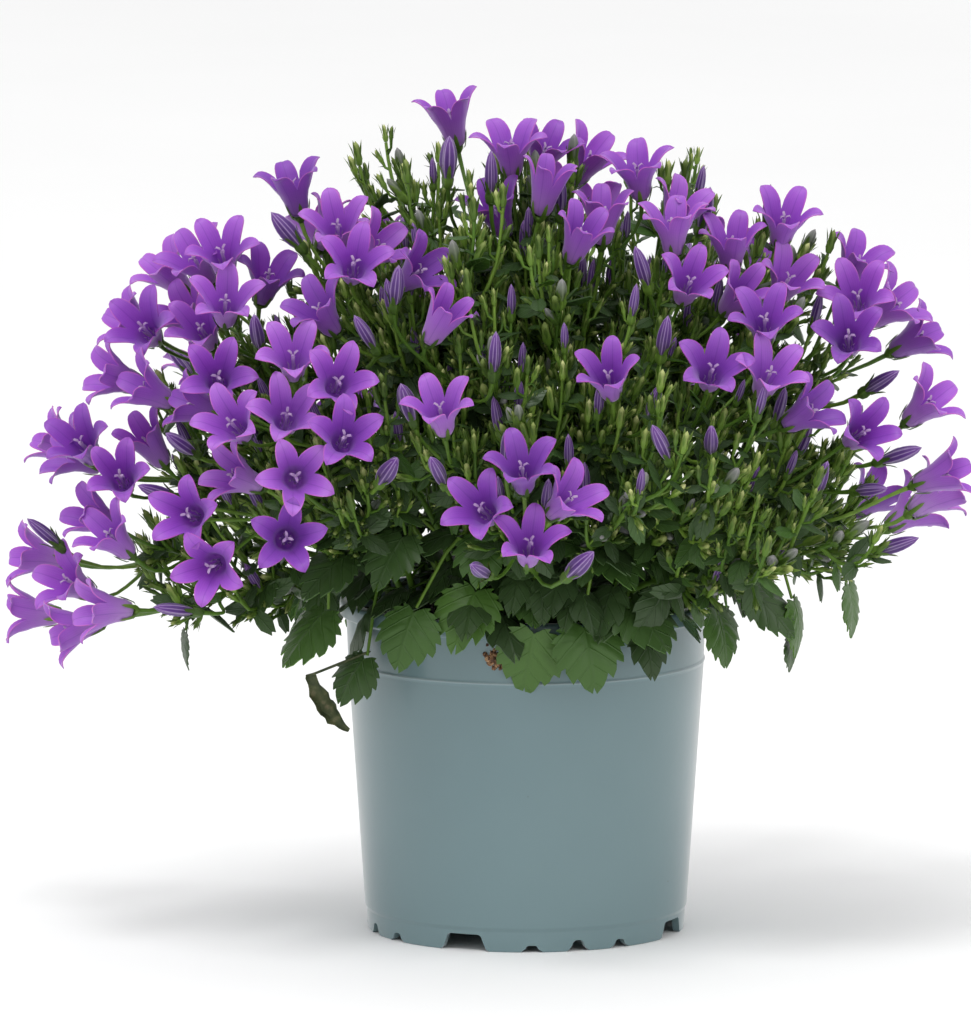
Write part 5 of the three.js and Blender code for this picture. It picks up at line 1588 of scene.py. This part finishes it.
for stem in stems:
    host = greens[stem.owner]
    host.line(stem.curve.at(np.linspace(0, 1, 16)), taper(*STEM_GIRTH, 16), luck.uniform(0.3, 0.8))
for pedicel in pedicels:
    host, bloom = greens[pedicel.owner], pedicel.bloom
    girths = taper(*FLOWER_STALK_GIRTH, 7) + UNDER_CALYX_GIRTHS
    host.line(pedicel.curve.at(np.linspace(0, 1, 9)), girths, luck.uniform(0.4, 0.9))
    if is_open(bloom):
        name = "calyx"
    else:
        name = "bud_striped_2" if bloom.open > 0.1 else one_of("bud_striped")
    host.place(name, bloom.base, axis_frame(bloom.facing, bloom.roll), 1, luck.uniform(0.2, 0.8))
for bud in buds:
    base = bud.base + bud.axis * 0.8
    name = one_of("bud_grey")
    greens[bud.owner].place(name, base, axis_frame(bud.axis), bud.length / TIP_BUD, luck.uniform(0.2, 0.8))
for leaf in leaves:
    host = greens[leaf.owner]
    name = one_of("leaf_large") if leaf.kind == "large" else one_of("leaf_middle")
    tone = luck.uniform(0.3, 1) if leaf.kind == "large" else luck.uniform(0.1, 0.8)
    host.place(name, leaf.base, side_turn(leaf.along, leaf.face), leaf.size, tone)
    foot = leaf.base + leaf.along * 0.12 * leaf.size
    middle = (leaf.start + foot) / 2 + UP * 0.1 * math.dist(leaf.start, foot)
    host.line([leaf.start, middle, foot], LEAF_STALK_GIRTHS, tone * 0.6 + 0.3)
for stem in stems:
    host, owner = greens[stem.owner], stem.owner
    length = stem.curve.lengths[-1]
    spike = not stem.head.blooms
    for n in range(LOW_LEAVES):
        mark = luck.uniform(0.16, 0.4)
        start, tangent = stem.curve.at(mark), stem.curve.tangent(mark)
        for turn in TURNS:
            side = outward(tangent, NODE_TURN * n + turn + luck.uniform(0, 60))
            along = unit(side + UP * luck.uniform(-0.3, 0.3))
            base, size = start + along * luck.uniform(5, 10), luck.uniform(9, 13)
            middle = base + along * 0.5 * size
            tip = base + along * size
            if room_for([start + along * 3, base, middle, tip], LOW_LEAF_ROOM, owner) > 0:
                add_balls([base, middle, tip], LOW_LEAF_ROOM, owner)
                # Tones differ at random, in a darker range than the outer leaves have: painted shade of the
                # plant's interior
                tone = luck.uniform(0.0, 0.6)
                host.place(one_of("leaf_middle"), base, side_turn(along, UP + side * 0.4), size, tone)
                bend = (start + base) / 2 + UP * 0.6
                host.line([start, bend, base + along * 0.1 * size], LOW_STALK_GIRTHS, tone)
                break
    for n in range(round(length / BRANCH_SPACING)):
        side_branch(host, owner, stem.curve, luck.uniform(0.35, 0.95), luck.uniform(12, 30), NODE_TURN * n)
    for n in range(0 if spike else HEAD_SHOOTS):
        side_branch(host, owner, stem.curve, luck.uniform(0.78, 1), luck.uniform(9, 18), NODE_TURN * n)
    raceme(host, owner, stem.curve, length, 0.42, 0.99, 1.2 if spike else 1.0, luck.uniform(0, 360))
for clump, host in zip(clumps, greens):
    piece = host.grow(clump.name.replace("stems", "growth").replace("buds", "spikes"))
    seated(piece, "foliage", clump.name)

# The bells' pieces: each bloom opened from its own calyx, and blooms that touch are one solid. Every bell
# joins the piece that stands for the CAD node where its lobes' tips lie.
def node_tree_of(name):
    mesh = frame["nodes"][name].data
    found = kdtree.KDTree(len(mesh.vertices))
    for n, vertex in enumerate(mesh.vertices):
        found.insert(vertex.co, n)
    found.balance()
    return found


NEAR_ENOUGH = 0.5 * MM
corners_of = {name: node_tree_of(name) for name in frame["nodes"] if name.startswith(("blooms", "stems"))}


def node_of(bloom):
    """The CAD node whose corners lie nearest the tips of the bloom's lobes."""
    turn = axis_frame(bloom.facing, bloom.roll)
    reach, height = lobe_tip(bloom.open)
    tips = [Vector((bloom.base + turn @ polar(reach, 72 * n, height)) * MM) for n in range(5)]
    misses = {name: sorted(found.find(tip)[2] for tip in tips)[1] for name, found in corners_of.items()}
    best = min(misses, key=misses.get)
    return best if misses[best] < NEAR_ENOUGH else clumps[bloom.clump].name


bells = {}
for bloom in blooms:
    bells.setdefault(node_of(bloom), []).append(bloom)
for name, held in sorted(bells.items()):
    host = Host()
    for bloom in held:
        nearest = min(BELL_OPENINGS, key=lambda opening: abs(opening - bloom.open))
        alike = [n for n, opening in enumerate(BELL_OPENINGS) if opening == nearest]
        bell_name = f"bell_{alike[luck.integers(len(alike))]:02}"
        host.place(bell_name, bloom.base, axis_frame(bloom.facing, bloom.roll), 1, luck.uniform(0, 1))
    piece = host.grow(name.replace("blooms", "bells").replace("stems", "bells_on"))
    seated(piece, "petals", name)

# The peat: dark crumbs and fibres, filled to just under the pot's lip as a low mound and pressed down by
# watering. Loose crumbs lie on its top, scattered by a tree of nodes.
SOIL_EDGE = LIP_RADIUS - WALL - 0.3
SOIL_BOTTOM = FLOOR_TOP + 0.3
SOIL_SIDES = 72
SOIL_MOUND = [(1, 3.2), (0.9, 2.4), (0.75, 1.6), (0.55, 0.9), (0.3, 0.5), (0, 0.4)]
CRUMB_SPREAD = 1.7 * MM
CRUMB_DENSITY = 600000
CRUMB_FORMS = 4
SPOT_SEED = 4
SIZE_SEED = 9
FULL_TURN = (6.3, 6.3, 6.3)

soil_finish, tree, shader = finish_of("damp_peat", 0.9)
coloured(tree, shader, ramp(tree, grain(tree, 350, 8), [
    (0.3, (0.012, 0.008, 0.006)), (0.55, (0.035, 0.022, 0.014)), (0.75, (0.09, 0.055, 0.032))]))
bumped(tree, shader, grain(tree, 700, 8), 0.7, 0.0006)

scatter, given = new_tree("crumbs", [
    ("Mound", "NodeSocketGeometry"), ("Spread", "NodeSocketFloat"), ("Crumbs", "NodeSocketCollection"),
    ("Finish", "NodeSocketMaterial")])
normal = scatter.nodes.new("GeometryNodeInputNormal").outputs[0]
upwards = node(scatter, "ShaderNodeSeparateXYZ", Vector=normal).outputs["Z"]
on_top = compared(scatter, "FLOAT", "GREATER_THAN", upwards, 0.5)
spots = node(scatter, "GeometryNodeDistributePointsOnFaces", {"distribute_method": "POISSON"},
             Mesh=given["Mound"], Selection=on_top, Distance_Min=given["Spread"], Density_Max=CRUMB_DENSITY,
             Seed=SPOT_SEED).outputs["Points"]
turns = node(scatter, "FunctionNodeRandomValue", {"data_type": "FLOAT_VECTOR"}, Max=FULL_TURN)
sizes = node(scatter, "FunctionNodeRandomValue", {"data_type": "FLOAT"}, Min=0.5, Max=1.5, Seed=SIZE_SEED)
laid = node(scatter, "GeometryNodeInstanceOnPoints", Points=spots,
            Instance=picked_from(scatter, given["Crumbs"]), Pick_Instance=True, Rotation=output_of(turns),
            Scale=output_of(sizes)).outputs[0]
grown = realized(scatter, laid, given["Mound"])
grown = node(scatter, "GeometryNodeSetMaterial", Geometry=grown, Material=given["Finish"]).outputs[0]
scatter.links.new(grown, scatter.nodes.new("NodeGroupOutput").inputs[0])

crumb_store = bpy.data.collections.new("crumbs")
for n in range(CRUMB_FORMS):
    points, faces, _ = round_body([(0, -0.6), (0.55, -0.35), (0.75, 0.1), (0.4, 0.5), (0, 0.6)], 5)
    points = points * luck.uniform(0.65, 1.3, (len(points), 3))
    mesh = bpy.data.meshes.new(f"crumb_{n}")
    mesh.from_pydata([tuple(p) for p in points * MM], [], faces)
    crumb_store.objects.link(bpy.data.objects.new(f"crumb_{n}", mesh))

mound = [(SOIL_EDGE * share, SOIL_TOP - drop) for share, drop in SOIL_MOUND]
soil_profile = [(INNER_FOOT - 0.6, SOIL_BOTTOM), *mound, (0, SOIL_BOTTOM)]
soil = mesh_piece("peat", *turned(soil_profile, SOIL_SIDES), soil_finish, 60)
grown_by(scatter, soil, {"Spread": CRUMB_SPREAD, "Crumbs": crumb_store, "Finish": soil_finish})
seated(soil, "peat", "soil")

# The withered leaf: one old blade has dried on its stalk and hangs beside the pot's lip, brown-green and
# rolled up lengthways. Its stalk still holds at the foot of the nearest living leaf.
WITHERED_PATH = [(-49.5, -31, 64), (-47.5, -32, 57.5), (-44.5, -33, 53), (-40.5, -33.5, 51)]
WITHERED_WIDTH = 3.6
WITHERED_ROWS = 14
WITHERED_COLUMNS = 6
WITHERED_THICKNESS = 0.16

withered_finish, tree, shader = finish_of("withered_leaf", 0.7)
coloured(tree, shader, ramp(tree, grain(tree, 420, 4), [
    (0.35, (0.03, 0.045, 0.015)), (0.55, (0.07, 0.085, 0.03)), (0.75, (0.2, 0.17, 0.09))]))
bumped(tree, shader, grain(tree, 900, 5), 0.5, 0.0004)

hung_from = min(leaves, key=lambda leaf: math.dist(leaf.base, WITHERED_PATH[0])).base
withered_curve = Bend(*(np.array(p, float) for p in WITHERED_PATH))
points, faces = [], []
for row in range(WITHERED_ROWS + 1):
    t = row / WITHERED_ROWS
    middle, heading = withered_curve.at(t), withered_curve.tangent(min(t, 0.99))
    aside = unit(np.cross(heading, (0, -1, 0)))
    front = unit(np.cross(aside, heading))
    width = WITHERED_WIDTH * (0.12 + math.sin(math.pi * min(1, 0.1 + 0.88 * t)) ** 0.8)
    width *= luck.uniform(0.85, 1.1)
    middle = middle + luck.normal(0, 0.12, 3)
    for k in range(WITHERED_COLUMNS + 1):
        roll_in = (k / WITHERED_COLUMNS - 0.5) * math.radians(160 - 60 * math.sin(9 * t))
        wide = width * luck.uniform(0.9, 1.1)
        points.append(middle + 0.5 * wide * (math.sin(roll_in) * aside - math.cos(roll_in) * front))
for row in range(WITHERED_ROWS):
    for k in range(WITHERED_COLUMNS):
        low = row * (WITHERED_COLUMNS + 1) + k
        faces.append([low, low + 1, low + WITHERED_COLUMNS + 2, low + WITHERED_COLUMNS + 1])
points, faces, _ = shell(points, faces, [(0, 0, 0)] * len(points), WITHERED_THICKNESS)
stalk_points, stalk_faces, _ = round_body([(0, 0), (0.35, 0.05), (0.3, 0.95), (0, 1)], 6)
stalk_way = withered_curve.at(0.03) - hung_from
stalk_points = stalk_points * (1, 1, math.sqrt(stalk_way @ stalk_way))
stalk_points = hung_from + stalk_points @ axis_frame(unit(stalk_way)).T
faces += [[c + len(points) for c in face] for face in stalk_faces]
seated(mesh_piece("withered_leaf", [*points, *stalk_points], faces, withered_finish), "foliage")

# The crumb on the wall: a few bits of root and peat that stuck to the plastic under the lip when the
# plant was potted, light brown and dry. It is a heap of small rough grains.
CRUMB_PLACE = (-7.2, 69)
CRUMB_COUNT = 44
GRAIN_TURN = 2.4

root_finish, tree, shader = finish_of("root_crumb", 0.85)
coloured(tree, shader, ramp(tree, grain(tree, 900, 5), [
    (0.35, (0.05, 0.025, 0.014)), (0.5, (0.22, 0.11, 0.05)), (0.7, (0.55, 0.36, 0.2))]))
bumped(tree, shader, grain(tree, 1200, 6), 0.6, 0.0004)

points, faces = [], []
for n in range(CRUMB_COUNT):
    across = CRUMB_PLACE[0] + luck.normal(0, 1.1)
    height = CRUMB_PLACE[1] + luck.normal(0, 1.2) - 0.35 * (across - CRUMB_PLACE[0])
    wall = LIP_RADIUS - 0.3 + luck.uniform(-0.1, 0.5)
    blob, blob_faces, _ = round_body([(0, -0.6), (0.5, -0.3), (0.55, 0.25), (0, 0.6)], 6)
    turn = np.array(Matrix.Rotation(n * GRAIN_TURN, 3, "Y"))
    blob = blob * luck.uniform(0.6, 1.5, (len(blob), 3)) @ turn
    faces += [[c + len(points) for c in face] for face in blob_faces]
    points += list(blob + (across, -math.sqrt(wall ** 2 - across ** 2), height))
seated(mesh_piece("root_crumb", points, faces, root_finish), "peat")

# The forms that the trees repeated are no pieces of their own
for store in (part_store, crumb_store):
    for made_part in list(store.objects):
        bpy.data.objects.remove(made_part)
    bpy.data.collections.remove(store)
